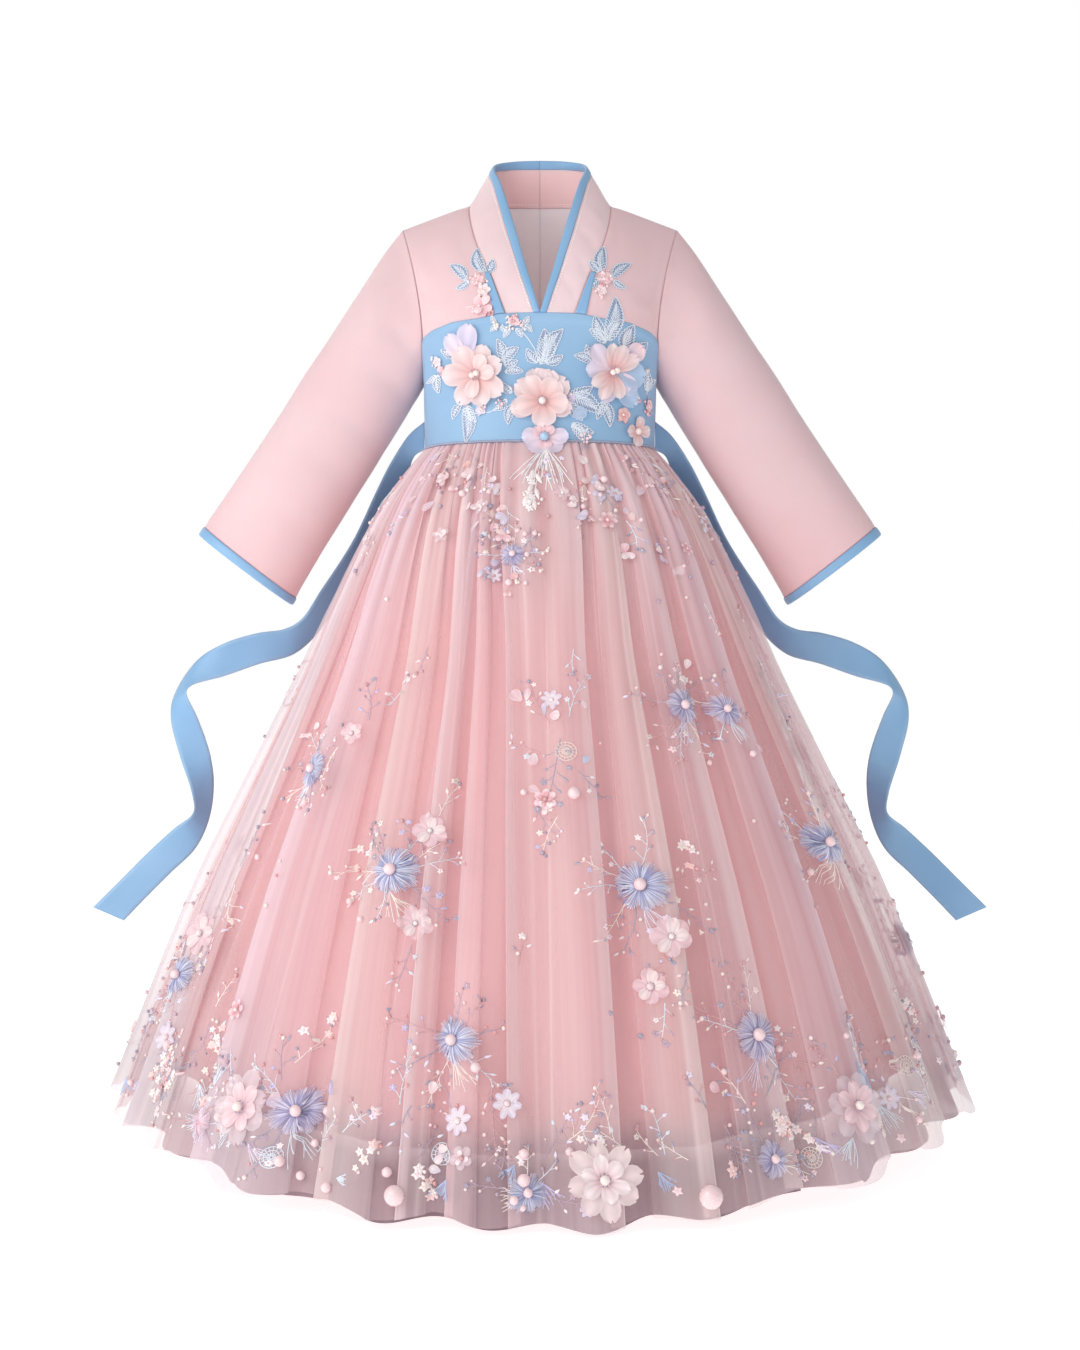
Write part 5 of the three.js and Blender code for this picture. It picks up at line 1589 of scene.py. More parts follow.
WAIST_RINGS = ((4, 1.0, 0.8, 0.2, PEACH_DEEP, PEACH_PALE),)
PALE_RINGS = ((8, 1.0, 0.56, 0.1, CREAM, PEACH_PALE), (6, 0.64, 0.4, 0.17, BLUSH, CREAM))
MISTY_RINGS = ((7, 1.0, 0.64, 0.08, MIST, HAZE), (6, 0.68, 0.46, 0.14, MIST, BLUSH))
OPEN_RINGS = ((7, 1.0, 0.52, 0.12, CREAM, LILAC_PALE),)
HAZY_RINGS = ((5, 1.0, 0.72, 0.08, MIST, HAZE), (3, 0.6, 0.4, 0.16, BLUSH, CREAM))
ROSE_RINGS = ((6, 1.0, 0.6, 0.12, ROSE, BLUSH), (4, 0.6, 0.4, 0.2, CORAL, ROSE))
SMALL_RINGS = (
    ((-86, -18, 42, 112, 176), 1.0, 0.74, 0.1, BLUSH, MIST),
    ((12, 80, 216), 0.82, 0.56, 0.18, CREAM, PEACH_PALE),
)
# The large organza flowers on the bodice: node, x, z, radius, rings of petals, the heart's colour,
# seed, the heart's share of the radius, and the count of pearls if not one.
CHEST_FLOWERS = (
    ("flower_chest_right", -58, -173, 30, PEACH_RINGS, PEARL, 76, 0.12, 2),
    ("flower_chest_middle", 2, -198, 28, BROAD_RINGS, PEARL, 21, 0.12),
    ("flower_chest_low", 4, -231, 19, LOW_RINGS, dye_and_shade(150, 196, 232), 20, 0.22),
    ("flower_chest_left", 66, -170, 30, LONG_RINGS, PEARL, 83, 0.12, 2),
    ("flower_waist_left", 89, -222, 15, WAIST_RINGS, PEARL, 106, 0.22),
)
# The large organza flowers on the skirt: node, degrees, share down, radius, rings, and as above.
SKIRT_FLOWERS = (
    ("flower_hem_right", -38, 0.9, 30, MISTY_RINGS, PEARL, 46, 0.13),
    ("flower_hem_middle", 7, 0.943, 30, PALE_RINGS, PEARL, 47, 0.13),
    ("flower_hem_left", 41, 0.905, 29, MISTY_RINGS, PEARL, 44, 0.13),
    ("flower_skirt_side", -64, 0.72, 19, SMALL_RINGS, PEARL, 36, 0.13),
    ("flower_skirt_upper", -19, 0.54, 15, SMALL_RINGS, PEARL, 33, 0.13),
    ("flower_skirt_right", -19, 0.655, 15, SMALL_RINGS, PEARL, 33, 0.13),
    ("flower_skirt_left", 19, 0.67, 18, SMALL_RINGS, PEARL, 35, 0.13),
)
# Loose petals beside the flowers on the bodice: x, z, direction, length, width, colours.
LOOSE_PETALS = (
    (-68, -160, 10, 34, 21, LILAC, LILAC_PALE), (-68, -160, -34, 30, 17, BLUSH, LILAC_PALE),
    (-1, -186, -12, 18, 20, LILAC_PALE, PEACH_PALE), (5, -186, 18, 17, 18, LILAC_PALE, PEACH_PALE),
    (76, -160, 52, 24, 18, LILAC, BLUSH), (66, -170, 96, 32, 24, SKY, SKY),
    (66, -172, 142, 36, 20, SKY, SKY), (60, -166, -35, 24, 17, LILAC_PALE, PEACH_PALE),
    (30, -212, 60, 13, 12, SKY, SKY), (-88, -169, -40, 8, 6, ROSE, BLUSH),
    (-86, -169, 40, 8, 6, BLUSH, BLUSH), (-52, -110, -50, 10, 8, ROSE, BLUSH),
    (-52, -110, 30, 10, 8, BLUSH, BLUSH), (-51, -111, 120, 9, 7, ROSE, BLUSH),
    (-53, -111, -140, 9, 7, BLUSH, BLUSH),
)
# Lace leaves on the bodice: foot x and z, tip x and z, width share, and colour if not silver blue.
BODICE_LEAVES = (
    (-67, -85, -83, -68, 0.4), (-53, -78, -58, -53, 0.42), (-49, -79, -43, -65, 0.5),
    (-65, -86, -77, -93, 0.42), (-52, -87, -43, -94, 0.45, SILVER), (57, -77, 59, -51, 0.42),
    (54, -78, 45, -67, 0.5), (66, -83, 84, -67, 0.36), (67, -85, 79, -92, 0.42), (54, -84, 42, -93, 0.42),
    (2, -164, 4, -132, 0.46), (2, -164, 21, -132, 0.36), (5, -163, 21, -156, 0.45),
    (-2, -163, -12, -150, 0.5, SKY), (-34, -162, -39, -141, 0.4), (-34, -162, -19, -149, 0.46),
    (-33, -164, -20, -161, 0.5), (-32, -171, -15, -171, 0.4), (-72, -198, -80, -212, 0.4),
    (-68, -200, -68, -234, 0.32), (-66, -200, -58, -216, 0.4, SILVER), (-25, -190, -37, -179, 0.4),
    (-24, -200, -29, -219, 0.4), (-30, -196, -42, -206, 0.4, SILVER), (26, -192, 48, -184, 0.4),
    (26, -193, 56, -208, 0.42), (28, -198, 39, -215, 0.4), (57, -196, 64, -220, 0.36),
    (29, -218, 49, -226, 0.42, SILVER), (29, -219, 40, -234, 0.42, SILVER), (61, -140, 69, -101, 0.36),
    (61, -142, 50, -119, 0.4), (60, -144, 45, -132, 0.45), (63, -142, 76, -122, 0.4),
    (49, -162, 31, -156, 0.42), (50, -160, 42, -146, 0.42), (50, -163, 42, -169, 0.42),
    (78, -153, 86, -126, 0.46, BLUSH), (79, -154, 99, -140, 0.46, BLUSH),
    (80, -156, 96, -152, 0.4, LILAC_PALE), (-74, -150, -86, -138, 0.5, BLUSH),
    (-74, -152, -91, -148, 0.5, BLUSH), (-94, -170, -93, -187, 0.4, SILVER),
    (-96, -170, -105, -176, 0.4, SILVER), (98, -184, 98, -164, 0.34, SILVER), (99, -184, 107, -172, 0.36),
    (62, -196, 52, -214, 0.36, SKY), (-36, -130, -30, -136, 0.5, SILVER),
    (-38, -129, -45, -134, 0.5, SILVER), (-14, -129, -7, -135, 0.5, SILVER),
    (-16, -128, -10, -121, 0.5, SILVER), (-40, -127, -44, -120, 0.5, SILVER),
    (-27, -133, -33, -140, 0.5, SILVER), (-22, -132, -16, -140, 0.5, SILVER),
)
# Knots of beads on the bodice: x, z, radius, count, colours.
BODICE_KNOTS = (
    (-59, -84, 5, 12, (POM, ROSE, PEARL)), (-51, -91, 6, 14, (PEARL, POM, DUSTY)),
    (-53, -99, 5, 12, (PEARL, POM)), (-46, -118, 4, 9, (DUSTY, ROSE)), (-58, -113, 4, 8, (POM, ROSE)),
    (-25, -126, 7, 20, (PEARL, DUSTY, SILVER)), (-38, -128, 5, 12, (SILVER, PEARL)),
    (-14, -128, 5, 10, (SILVER, POM)), (-38, -200, 5, 9, (PEARL, STEEL, POM)),
    (-53, -206, 5, 9, (SILVER, POM)), (-96, -158, 5, 12, (POM, PEARL, SILVER)),
    (-88, -168, 4, 8, (POM, ROSE)), (27, -193, 3, 7, (STEEL, POM)), (42, -229, 6, 12, (SILVER, POM, PEARL)),
    (60, -81, 6, 16, (POM, ROSE, PEARL)), (57, -88, 6, 14, (POM, ROSE)), (55, -99, 5, 10, (PEARL, POM)),
    (89, -194, 4, 9, (POM, ROSE, PEARL)), (100, -194, 4, 9, (POM, DUSTY)), (100, -202, 4, 8, (POM, ROSE)),
    (76, -209, 6, 16, (CORAL, PEACH_DEEP)), (-27, -186, 3, 6, (STEEL, SILVER)),
    (62, -193, 3, 6, (DUSTY, STEEL)), (98, -166, 2, 4, (POM, PEARL)),
)
# Little blossoms on the bodice: x, z, radius, inner and outer colour.
BLOSSOMS = (
    (-57, -86, 6, ROSE, BLUSH), (-51, -96, 6, BLUSH, CREAM), (60, -84, 7, ROSE, BLUSH),
    (56, -96, 5, BLUSH, CREAM), (-24, -125, 5, ROSE, BLUSH), (76, -208, 7, PEACH_DEEP, PEACH),
    (100, -197, 6, ROSE, BLUSH), (-54, -205, 5, CREAM, LILAC_PALE), (-94, -158, 5, BLUSH, CREAM),
    (27, -196, 5, LILAC, LILAC_PALE), (-70, -150, 6, BLUSH, LILAC_PALE),
)
# Share down where the sprays and tufts end, the skirt's length in front in mm, and how much less
# it is at the sides.
HEM_EDGE, SKIRT_LONG, SIDE_LESS = 0.985, 690, 70
# Threads of a daisy: inside, tip and heart.
BLUE_THREADS = (dye_and_shade(116, 120, 184), dye_and_shade(224, 224, 244), NAVY)
LILAC_THREADS = (dye_and_shade(128, 114, 180), dye_and_shade(230, 220, 242), NAVY)
PALE_THREADS = (dye_and_shade(240, 178, 196), dye_and_shade(240, 230, 246), dye_and_shade(228, 146, 166))
# Thread daisies on the skirt: degrees, share down, radius, threads.
DAISIES = (
    (-48.5, 0.475, 18, BLUE_THREADS), (-23.5, 0.593, 22, BLUE_THREADS), (32, 0.383, 18, LILAC_THREADS),
    (42, 0.388, 16, LILAC_THREADS), (56, 0.58, 20, BLUE_THREADS), (16, 0.61, 23, BLUE_THREADS),
    (-65.3, 0.78, 18, BLUE_THREADS), (-11.2, 0.795, 20, BLUE_THREADS), (29.7, 0.807, 23, LILAC_THREADS),
    (-31.5, 0.9, 21, LILAC_THREADS), (-1.5, 0.965, 16, BLUE_THREADS), (-8.6, 0.17, 13, LILAC_THREADS),
    (78, 0.75, 18, BLUE_THREADS), (28.5, 0.955, 16, LILAC_THREADS), (108, 0.47, 18, BLUE_THREADS),
    (128, 0.82, 21, LILAC_THREADS), (146, 0.6, 20, BLUE_THREADS), (170, 0.42, 18, LILAC_THREADS),
    (182, 0.84, 22, BLUE_THREADS), (200, 0.62, 20, BLUE_THREADS), (218, 0.9, 20, LILAC_THREADS),
    (230, 0.5, 18, LILAC_THREADS), (248, 0.8, 21, BLUE_THREADS), (158, 0.93, 18, BLUE_THREADS),
    (-47.6, 0.95, 15, PALE_THREADS),
)
# Small organza flowers on the skirt: degrees, share down, radius.
SMALL_FLOWERS = (
    (15.5, 0.733, 15), (-9.8, 0.885, 12), (-9, 0.925, 10), (-63, 0.87, 13), (-47, 0.8, 9), (-58, 0.93, 12),
    (-4, 0.86, 12), (-22, 0.1, 8), (-14, 0.2, 7), (24, 0.12, 9), (9, 0.08, 8), (31, 0.08, 8),
    (-34, 0.14, 8), (2.5, 0.37, 9), (1, 0.5, 10), (-40, 0.42, 10), (66, 0.33, 8), (74, 0.86, 12),
    (52, 0.93, 10), (120, 0.9, 13), (100, 0.68, 14), (138, 0.44, 11), (152, 0.84, 15), (176, 0.7, 14),
    (192, 0.93, 14), (206, 0.4, 10), (222, 0.72, 14), (236, 0.92, 15), (256, 0.62, 13), (262, 0.9, 12),
    (112, 0.12, 8), (135, 0.08, 8), (160, 0.13, 8), (186, 0.09, 8), (208, 0.14, 8), (232, 0.1, 8),
    (254, 0.13, 8), (290, 0.14, 7), (70, 0.12, 8), (50, 0.16, 7),
)
# Sprigs on the skirt away from the daisies: degrees, share down, direction, length.
SPRIGS = (
    (-88, 0.4, 10, 46), (4, 0.42, 190, 60), (2, 0.4, -25, 42), (6, 0.39, 25, 40), (-1, 0.5, 150, 36),
    (3, 0.52, 200, 34), (7, 0.46, 140, 34), (0, 0.44, -70, 26), (-36, 0.38, 30, 34), (-38, 0.4, -20, 36),
    (-42, 0.44, 200, 30), (68, 0.34, 170, 50), (70, 0.3, -10, 40), (76, 0.5, 175, 60), (-60, 0.62, 20, 40),
    (-57, 0.64, 160, 40), (21, 0.7, 200, 36), (14, 0.72, 60, 28), (17, 0.75, 190, 30), (-19, 0.68, 190, 34),
    (-18, 0.52, 20, 30), (-20, 0.56, -40, 30), (-3, 0.7, 10, 22), (8, 0.3, 185, 24), (-28, 0.3, 190, 26),
    (48, 0.24, 165, 30), (-70, 0.84, 190, 48), (-76, 0.8, 130, 50), (88, 0.6, -10, 50),
    (-52, 0.82, 190, 40), (-52, 0.8, 20, 30), (-49, 0.87, -20, 34), (-63, 0.81, 30, 36),
    (-46, 0.85, 150, 34), (-61, 0.9, 170, 36), (-44, 0.93, 20, 30), (-57, 0.93, 160, 30),
    (50, 0.84, 190, 40), (46, 0.87, 10, 40), (53, 0.93, -30, 34), (53, 0.92, 160, 30), (66, 0.9, 10, 46),
    (58, 0.82, 170, 46), (15, 0.93, -10, 34), (23, 0.9, 170, 38), (26, 0.88, -30, 34), (33, 0.86, 20, 34),
    (3, 0.91, 20, 36), (5, 0.89, 160, 30), (-34, 0.86, -10, 34), (-33, 0.84, 30, 34), (-16, 0.87, 190, 34),
    (-6, 0.83, 175, 60),
)
# Loose petals on the skirt: degrees, share down, direction, length, width, colours.
SKIRT_PETALS = (
    (21, 0.02, 180, 13, 9, BLUSH, CREAM), (40, 0.08, 40, 11, 9, LILAC_PALE, MIST),
    (33, 0.09, -50, 9, 7, LILAC, LILAC_PALE), (33, 0.1, 170, 9, 6, LILAC_PALE, MIST),
    (26, 0.11, 150, 7, 5, BLUSH, HAZE), (58, 0.06, -20, 7, 6, ROSE, BLUSH),
    (54, 0.07, 170, 7, 6, BLUSH, CREAM), (53, 0.1, 190, 9, 8, PEACH_DEEP, ROSE),
    (64, 0.09, 10, 12, 9, MIST, HAZE), (-51, 0.08, 200, 9, 8, BLUSH, MIST),
    (-50, 0.1, 210, 8, 5, MAUVE, LILAC), (-42, 0.09, 215, 14, 8, LILAC_PALE, MIST),
    (-35, 0.14, 80, 9, 7, CREAM, CREAM), (-36, 0.04, 0, 8, 6, PEACH_DEEP, PEACH),
    (-35, 0.07, 250, 9, 8, PEACH_DEEP, BLUSH), (-32, 0.06, 40, 7, 6, BLUSH, CREAM),
    (-23, 0.06, 90, 9, 7, MIST, CREAM), (-19, 0.08, 20, 12, 6, LILAC_PALE, HAZE),
    (-22, 0.12, 200, 12, 5, CREAM, HAZE), (-13, 0.18, 250, 9, 7, LILAC, LILAC_PALE),
    (-17, 0.19, 190, 9, 5, SKY, LILAC_PALE), (-9, 0.2, 100, 8, 7, ROSE, PEACH),
    (-9, 0.22, 165, 7, 4, PEACH_DEEP, BLUSH), (-9, 0.22, 205, 7, 4, PEACH_DEEP, BLUSH),
    (-4, 0.37, -50, 12, 11, BLUSH, MIST), (-3, 0.37, 8, 11, 6, CREAM, MIST),
    (1, 0.39, -10, 10, 4, SKY, LILAC_PALE), (2, 0.39, 100, 9, 9, MIST, CREAM),
    (9, 0.37, 180, 8, 6, CREAM, MIST), (-1, 0.44, 190, 12, 9, CREAM, MIST),
    (0, 0.49, -70, 10, 7, BLUSH, MIST), (1, 0.51, -50, 7, 5, CREAM, CREAM),
    (1, 0.51, 70, 7, 5, CREAM, CREAM), (1, 0.51, 180, 7, 5, CREAM, CREAM), (8, 0.45, 40, 7, 6, SKY, SKY),
    (-3, 0.87, 0, 9, 5, CREAM, LILAC_PALE), (-11, 0.92, 260, 8, 7, CREAM, BLUSH),
    (-12, 0.93, 200, 9, 7, BLUSH, CREAM), (-12, 0.95, 280, 9, 7, LILAC_PALE, CREAM),
    (-14, 0.86, 20, 10, 8, BLUSH, CREAM), (23, 0.86, -60, 11, 9, ROSE, BLUSH),
    (-35, 0.89, 70, 14, 12, LILAC_PALE, MIST), (-48, 0.94, 190, 12, 10, ROSE, MIST),
    (-48, 0.94, 80, 11, 9, MIST, HAZE), (38, 0.33, 20, 9, 7, BLUSH, CREAM),
    (48, 0.44, 150, 10, 8, BLUSH, MIST), (-56, 0.42, 60, 8, 7, BLUSH, CREAM),
    (60, 0.66, 170, 9, 7, MIST, CREAM), (110, 0.4, 30, 11, 9, BLUSH, MIST),
    (114, 0.43, 160, 10, 7, CREAM, MIST), (150, 0.5, -40, 11, 9, LILAC_PALE, MIST),
    (180, 0.3, 20, 11, 9, BLUSH, CREAM), (183, 0.33, 200, 10, 7, CREAM, MIST),
    (212, 0.56, 60, 11, 9, BLUSH, MIST), (240, 0.38, -20, 10, 8, LILAC_PALE, MIST),
    (165, 0.78, 100, 12, 10, BLUSH, MIST), (226, 0.84, 200, 12, 10, MIST, HAZE),
)
# Soft round balls on the skirt: degrees, share down, radius.
BALLS = (
    (28, 0.06, 3.4), (17, 0.1, 2.6), (-9, 0.21, 3.2), (-5, 0.14, 2.4), (-2, 0.14, 2.4), (-4, 0.17, 2.4),
    (-4, 0.21, 2.2), (72, 0.14, 2.0), (6, 0.49, 5.2), (-3, 0.49, 2.8), (-32, 0.64, 3.0), (-28, 0.66, 2.8),
    (-8, 0.82, 4.2), (-2, 0.92, 4.0), (-2, 0.95, 5.2), (-3, 0.97, 3.6), (-2, 0.98, 2.6), (-28, 0.9, 3.9),
    (-29, 0.94, 3.4), (-25, 0.98, 4.2), (-17, 0.975, 8.2), (19, 0.975, 9.5), (-32, 0.96, 4.6),
    (-30, 0.98, 3.8), (44, 0.45, 3.0), (36, 0.46, 2.6), (52, 0.62, 3.4), (63, 0.55, 2.8), (-55, 0.6, 2.8),
    (-47, 0.52, 3.0), (24, 0.84, 2.8), (34, 0.83, 3.2), (43, 0.82, 2.6), (58, 0.88, 3.4), (-62, 0.88, 3.6),
    (100, 0.98, 8.4), (140, 0.975, 5.0), (172, 0.98, 9.0), (214, 0.975, 8.6), (246, 0.98, 5.4),
    (-74, 0.98, 6.4), (118, 0.56, 3.6), (156, 0.34, 3.0), (192, 0.48, 4.4), (204, 0.8, 4.0),
    (238, 0.66, 4.2), (124, 0.74, 3.4), (178, 0.9, 4.2),
)
# Tufts of blue or lilac thread near the hem: degrees, share down, direction, length.
TUFTS = (
    (14, 0.95, 150, 16), (36, 0.94, 150, 17), (48, 0.89, 200, 24), (49, 0.93, 160, 17), (82, 0.96, 170, 22),
    (0, 0.955, 150, 22), (-3, 0.93, 205, 16), (-24, 0.965, 90, 11), (-11, 0.96, 200, 20),
    (-28, 0.86, 180, 12), (45, 0.86, 165, 26), (-47, 0.9, 0, 18), (-70, 0.94, 190, 18),
    (112, 0.93, 170, 20), (134, 0.88, 200, 22), (160, 0.95, 160, 20), (186, 0.96, 190, 18),
    (204, 0.91, 170, 22), (232, 0.95, 200, 20), (256, 0.9, 165, 22),
)
# Patches of tiny cream blossoms: degrees, share down, count.
BLOSSOM_PATCHES = (
    (31, 0.92, 13), (-20, 0.93, 5), (-56, 0.9, 10), (-50, 0.84, 7), (-14, 0.96, 5), (60, 0.9, 8),
    (68, 0.84, 7), (6, 0.91, 4), (-31, 0.58, 4), (34, 0.35, 4), (24, 0.57, 4), (-61, 0.9, 8),
    (-62, 0.93, 6), (-49, 0.87, 5), (49, 0.96, 6), (35, 0.94, 4), (120, 0.86, 10), (150, 0.9, 9),
    (190, 0.87, 11), (228, 0.88, 10), (250, 0.84, 8), (-72, 0.76, 6), (-32, 0.8, 4),
)
# Cords among the lace leaves: foot x and z, line from there, width, colour.
CORDS = (
    (-16, -135, ((0, 0), (6, -7), (11, -15), (14, -24), (17, -30)), 1.0, SILVER),
    (-97, -158, ((0, 0), (4, -6), (8, -11), (14, -12)), 0.8, SILVER),
    (99, -187, ((0, 0), (0, 10), (-1, 22)), 0.8, SILVER),
    (-50, -112, ((0, 0), (-9, 2), (-18, 1)), 0.8, IVORY),
    (-70, -205, ((0, 0), (12, -3), (25, -2), (38, 5)), 0.9, SILVER),
)
# White flowers of the tassel: x, z and direction of the leaf beside each.
TASSEL = (
    (-6, -262, 190), (-4, -266, 150), (-7, -276, 200), (-4, -280, 165), (-9, -286, 215), (-6, -290, 170),
)
# Rounds of lace on the skirt: degrees and share down.
LACE_ROUNDS = (
    (5, 0.435), (-33, 0.955), (35, 0.965), (-12, 0.93), (55, 0.885), (100, 0.9), (176, 0.93), (210, 0.5),
)


def tree_of(pieces):
    points, faces = [], []
    for piece in pieces:
        start = len(points)
        points += [v.co / MM for v in piece.data.vertices]
        faces += [[k + start for k in face.vertices] for face in piece.data.polygons]
    return BVHTree.FromPolygons(points, faces)


def large_flower(name, beads, seat, radius, rings, *heart):
    """A larger organza flower is a piece of its own."""
    flower = Heap()
    organza_flower(flower, beads, seat, radius, rings, *heart)
    flower.piece(name.replace("flower_", "organza_"), ORGANZA, "petal_organza", [name])


def tassel(at, lace, beads):
    """Loose threads under the chest band, and a string of small white flowers."""
    fan(lace, at(5, -240), 184, 46, 42, 21, WHITE, 3, 0.95)
    fan(lace, at(30, -222), 152, 24, 12, 5, STEEL, 4)
    for k, (x, z, way) in enumerate(TASSEL):
        leaflet(lace, at(x, z), (0, 0), way, 12, 4.5, WHITE, PEARL)
        star(lace, beads, at(x - 3, z - 9), 4.2, WHITE, PEARL, k)
    cluster(beads, at(-7, -290), 9, 16, (PEARL, WHITE), 91)


def bodice_trim(tree):
    lace, beads, petals = Heap(), Heap(), Heap()

    def at(x, z):
        return front_seat(tree, x, z)

    for k, (x, z, tip_x, tip_z, share, *tint) in enumerate(BODICE_LEAVES):
        lace_leaf(lace, at(x, z), (tip_x - x, tip_z - z), share, 0.16 * (-1) ** k, *tint)
    for k, (x, z, radius, count, tints) in enumerate(BODICE_KNOTS):
        cluster(beads, at(x, z), radius, count, tints, k + 50)
    for x, z, way, long, wide, inner, outer in LOOSE_PETALS:
        petal(petals, at(x, z), way, long, wide, 2.2, inner, outer, notch=0.06, phase=x)
    for k, (x, z, radius, inner, outer) in enumerate(BLOSSOMS):
        organza_flower(petals, beads, at(x, z), radius, ((5, 1.0, 0.9, 0.16, inner, outer),), PEARL, k, 0.2)
    for x, z, line, width, tint in CORDS:
        thread(lace, at(x, z), line, width, tint)
    tassel(at, lace, beads)
    for name, x, z, *looks in CHEST_FLOWERS:
        large_flower(name, beads, at(x, z), *looks)
    petals.piece("bodice_petals", ORGANZA, "petal_organza")
    lace.piece("bodice_lace", EMBROIDERY, "lace_thread")
    beads.piece("bodice_beads", PEARLY, "beads")


def sprays(at, twigs, beads):
    """Loose threads below each daisy, and sprigs all round it."""
    draw = np.random.default_rng(70)
    for n, (degrees, down, radius, _) in enumerate(DAISIES):
        seat = at(degrees, down)
        room = (HEM_EDGE - down) * (SKIRT_LONG - SIDE_LESS * math.sin(math.radians(degrees)) ** 2)
        spare = room > radius * 2.2
        way, tint = 180 + (30 if spare else 75) * (-1) ** n, (SILVER, IVORY, LILAC_PALE)[n % 3]
        fan(twigs, seat, way, radius * 1.4, 24, 8, tint, n, y=-radius * 0.7 * spare)
        for turn in (-28, 8, 42, 88, 128, 165, 196, 232, 278, 312):
            if draw.uniform() > 0.72:
                continue
            way = turn + draw.uniform(-14, 14)
            foot = heading(way) * radius * 0.8
            k = draw.integers(1000)
            long = radius * draw.uniform(1.1, 2.1)
            if (foot + heading(way) * long)[1] > -room:
                sprig(twigs, beads, seat, way, long, k, foot)


def back_sprigs(at, twigs, beads, draw):
    """Pairs of sprigs over the sides and back, one up and one down."""
    for degrees in np.arange(95, 268, 7.5):
        down = draw.uniform(0.3, 0.82)
        for way in (draw.uniform(-40, 40), draw.uniform(140, 220)):
            sprig(twigs, beads, at(degrees, down), way, draw.uniform(28, 50), int(degrees * 3 + way))


def waist_ring(at, twigs, beads, petals, draw):
    """Sprigs hanging from the waist all round, with small loose petals and balls between them."""
    pairs = ((BLUSH, CREAM), (LILAC_PALE, LILAC_PALE), (PEACH, PEACH_PALE), (ROSE, BLUSH), (CREAM, WHITE))
    for degrees in np.arange(-178, 182, 6.4):
        k = int(degrees + 200)
        around = degrees + draw.uniform(-2, 2)
        seat = at(around, (0.01, draw.uniform(0.03, 0.1), draw.uniform(0.06, 0.14))[k % 3])
        sprig(twigs, beads, seat, draw.uniform(165, 195), draw.uniform(24, 58), k)
        if abs(degrees) < 9:
            continue
        for n in range(0 if 50 < abs(degrees) < 125 else 3):
            x, y, way = draw.uniform(-9, 9), -draw.uniform(0, 42), draw.uniform(0, 360)
            inner, outer = pairs[draw.integers(5)]
            for turn in (0, 70, 140)[:draw.integers(1, 3)]:
                long, wide = draw.uniform(6, 11), draw.uniform(5, 9)
                petal(petals, seat, way + turn, long, wide, 1.4, inner, outer, x=x, y=y)
            if n % 2:
                bead(beads, seat, draw.uniform(1.6, 3.2), POM, x + 3, y + 2, 0.8)


def hem_ring(at, twigs, beads, draw):
    """Sprigs, stars, balls and tufts along the hem all round."""
    for degrees in np.arange(-180, 180, 3.6):
        k = int(degrees * 7 + 2000)
        seat = at(degrees + draw.uniform(-1.5, 1.5), draw.uniform(0.86, 0.95))
        sprig(twigs, beads, seat, draw.uniform(-60, 60), draw.uniform(20, 46), k)
        if k % 3 == 0:
            seat = at(degrees + 1.5, draw.uniform(0.87, 0.985))
            star(twigs, beads, seat, draw.uniform(4, 6.5), (BLUSH, LILAC, CREAM, PEACH)[k % 4], POM, k)
        if k % 8 == 1:
            bead(beads, at(degrees, draw.uniform(0.9, 0.985)), draw.uniform(2.6, 4.6), POM, lift=0.8)
        if k % 5 == 2:
            seat, tint = at(degrees, draw.uniform(0.9, 0.945)), (SILVER, LILAC_PALE, IVORY)[k % 3]
            fan(twigs, seat, draw.uniform(120, 240), 24, 24, 9, tint, k)


def scattered_beads(at, beads, draw):
    for _ in range(240):
        heights = draw.uniform(0.04, 0.25), draw.uniform(0.3, 0.86), draw.uniform(0.86, 0.98)
        down = draw.choice(heights, p=(0.3, 0.35, 0.35))
        tint = (DUSTY, POM, MAUVE, PEARL, CORAL, STEEL)[draw.integers(6)]
        bead(beads, at(draw.uniform(-180, 180), down), draw.uniform(1.1, 2.4), tint)


def blossom_patches(at, twigs, beads):
    draw = np.random.default_rng(78)
    for degrees, down, count in BLOSSOM_PATCHES:
        seat = at(degrees, down)
        for k in range(count):
            x, y, radius = draw.uniform(-11, 11), draw.uniform(-12, 12), draw.uniform(3.2, 4.8)
            star(twigs, beads, seat, radius, (CREAM, IVORY, PEACH)[k % 3], (PEARL, POM)[k % 2], k, x, y)
            bead(beads, seat, draw.uniform(1.0, 1.8), (PEARL, POM, CORAL)[k % 3], x + 4, y - 3)


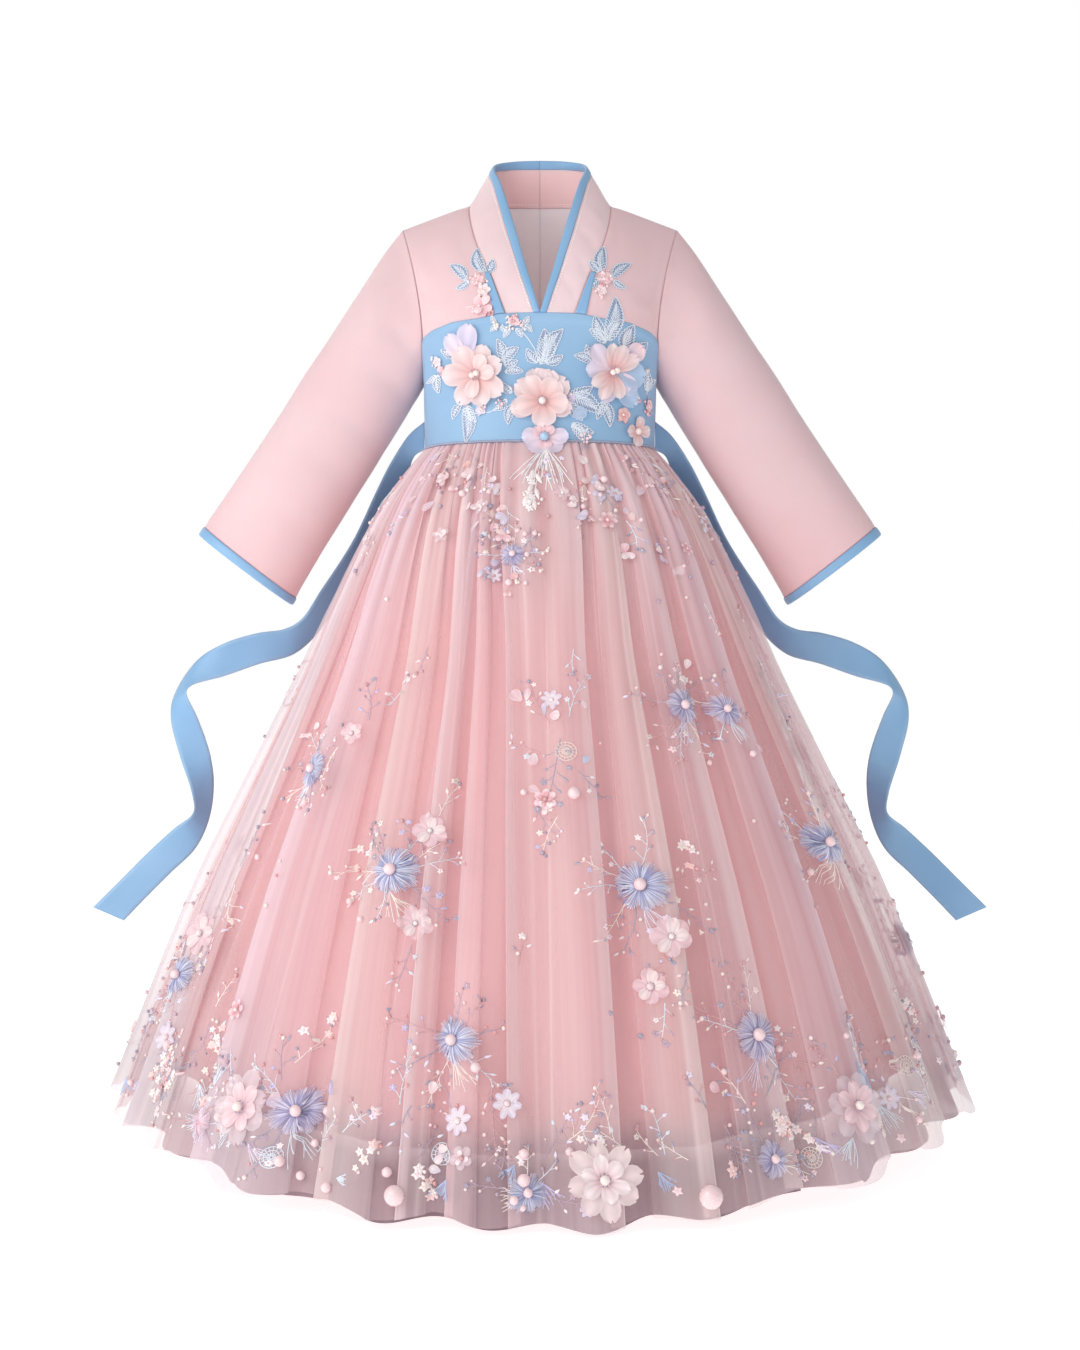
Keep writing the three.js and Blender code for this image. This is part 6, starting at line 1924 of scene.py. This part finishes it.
def skirt_trim(tree):
    daisies, twigs, beads, petals = Heap(), Heap(), Heap(), Heap()

    def at(degrees, down):
        return skirt_seat(tree, degrees, down)

    for k, (degrees, down, radius, threads) in enumerate(DAISIES):
        thread_daisy(daisies, beads, at(degrees, down), radius, *threads, k)
    sprays(at, twigs, beads)
    for k, (degrees, down, way, long) in enumerate(SPRIGS):
        sprig(twigs, beads, at(degrees, down), way, long, k)
    for k, (degrees, down) in enumerate(LACE_ROUNDS):
        lace_round(twigs, at(degrees, down), (SAND, SILVER)[k % 2])
    draw = np.random.default_rng(77)
    back_sprigs(at, twigs, beads, draw)
    waist_ring(at, twigs, beads, petals, draw)
    hem_ring(at, twigs, beads, draw)
    scattered_beads(at, beads, draw)
    for k, (degrees, down, way, long, wide, inner, outer) in enumerate(SKIRT_PETALS):
        petal(petals, at(degrees, down), way, long, wide, 1.6, inner, outer, notch=0.05, phase=k)
    for degrees, down, radius in BALLS:
        bead(beads, at(degrees, down), radius, POM, lift=0.8)
    for k, (degrees, down, way, long) in enumerate(TUFTS):
        seat = at(degrees, min(down, HEM_EDGE - long / SKIRT_LONG))
        fan(twigs, seat, way, long, 30, 11, (TUFT_BLUE, LILAC, TUFT_BLUE, SILVER)[k % 4], k, 0.75)
    blossom_patches(at, twigs, beads)
    for k, (degrees, down, radius) in enumerate(SMALL_FLOWERS):
        rings = (SMALL_RINGS, OPEN_RINGS, HAZY_RINGS, OPEN_RINGS, ROSE_RINGS)[k % 5]
        organza_flower(petals, beads, at(degrees, down), radius, rings, (POM, PEARL, DUSTY)[k % 3], k, 0.2)
    for name, degrees, down, *looks in SKIRT_FLOWERS:
        large_flower(name, beads, at(degrees, down), *looks)
    daisies.piece("skirt_daisies", EMBROIDERY, "lace_thread")
    twigs.piece("skirt_sprigs", EMBROIDERY, "lace_thread")
    beads.piece("skirt_beads", PEARLY, "beads")
    petals.piece("skirt_small_flowers", ORGANZA, "petal_organza")


# ------------------------------------------------------------ floor, light and camera
# Half the floor's side and how far it reaches towards the camera, in mm, and its gap to the hem.
FLOOR_HALF, FLOOR_AHEAD, FLOOR_GAP = 12000, 4000, 4
# How brightly the floor gives off light of its own, and the surroundings light the dress.
FLOOR_GLOW, SURROUNDINGS = 0.78, 0.47
# The camera looks straight ahead from here, in metres, with this lens and sensor in mm.
CAMERA_AT, LENS, SENSOR = (0, -1.96, -0.447), 55, 36


def pale_floor():
    f = Finish("pale floor", roughness=0.9, specular=0.1)
    grain = f.cloud(3, 2)
    f.feed("Base Color", f.mix(grain * 0.03, rgb(205, 205, 205), rgb(195, 195, 195)))
    f.shader.inputs["Emission Color"].default_value = (1, 1, 1, 1)
    f.shader.inputs["Emission Strength"].default_value = FLOOR_GLOW
    return f.material


def floor():
    x, y = np.linspace(-FLOOR_HALF, FLOOR_HALF, 5), np.linspace(-FLOOR_AHEAD, FLOOR_HALF, 5)
    grid = spot(*np.meshgrid(x, y), cad_low.z / MM - FLOOR_GAP)
    made = cloth_piece("studio_floor", grid, np.zeros_like(grid) + (0, 0, 1), pale_floor(), 0)


def sun(name, way, power, angle, colour=(1, 1, 1)):
    light = bpy.data.lights.new(name, "SUN")
    light.energy, light.angle, light.color = power, math.radians(angle), colour
    made = bpy.data.objects.new(name, light)
    made.rotation_euler = Vector(way).to_track_quat("-Z", "Y").to_euler()
    bpy.context.scene.collection.objects.link(made)


def lamp(place, aim, side, power):
    """A square soft light."""
    light = bpy.data.lights.new("key", "AREA")
    light.shape, light.size, light.energy, light.color = "SQUARE", side, power, (1, 0.985, 0.965)
    made = bpy.data.objects.new("key", light)
    made.location = place
    made.rotation_euler = (Vector(aim) - Vector(place)).to_track_quat("-Z", "Y").to_euler()
    made.visible_camera = False
    bpy.context.scene.collection.objects.link(made)


def studio():
    scene = bpy.context.scene
    camera = bpy.data.cameras.new("camera")
    camera.lens, camera.sensor_width = LENS, SENSOR
    made = bpy.data.objects.new("camera", camera)
    made.location, made.rotation_euler = CAMERA_AT, (math.pi / 2, 0, 0)
    scene.collection.objects.link(made)
    scene.camera = made
    lamp((-1.15, -1.2, 0.15), (0, 0, -0.45), 1.4, 14.3)
    sun("fill", (0.1, 1, -0.2), 0.3, 50, (0.95, 0.97, 1))
    sun("back light", (0.3, -1, -0.35), 0.35, 50, (1, 0.98, 0.97))
    world = bpy.data.worlds.new("studio")
    scene.world = world
    world.use_nodes = True
    nodes, links = world.node_tree.nodes, world.node_tree.links
    soft, plain = nodes["Background"], nodes.new("ShaderNodeBackground")
    soft.inputs["Color"].default_value = (0.97, 0.98, 1, 1)
    soft.inputs["Strength"].default_value = SURROUNDINGS
    plain.inputs["Color"].default_value = (1, 1, 1, 1)
    paths, choice = nodes.new("ShaderNodeLightPath"), nodes.new("ShaderNodeMixShader")
    links.new(paths.outputs["Is Camera Ray"], choice.inputs[0])
    links.new(soft.outputs[0], choice.inputs[1])
    links.new(plain.outputs[0], choice.inputs[2])
    links.new(choice.outputs[0], nodes["World Output"].inputs["Surface"])
    scene.view_settings.view_transform = "Standard"


floor()
studio()
fronts = []
for side, sign in SIDES:
    fronts += [bodices(side, sign), collars(side, sign)]
    sleeves(side, sign)
fronts.append(chest_bands())
tulle = skirt()
for side, sign in SIDES:
    ties(side, sign)
waist_braid()
collar_stitches()
bodice_trim(tree_of([*fronts, tulle]))
skirt_trim(tree_of([tulle]))
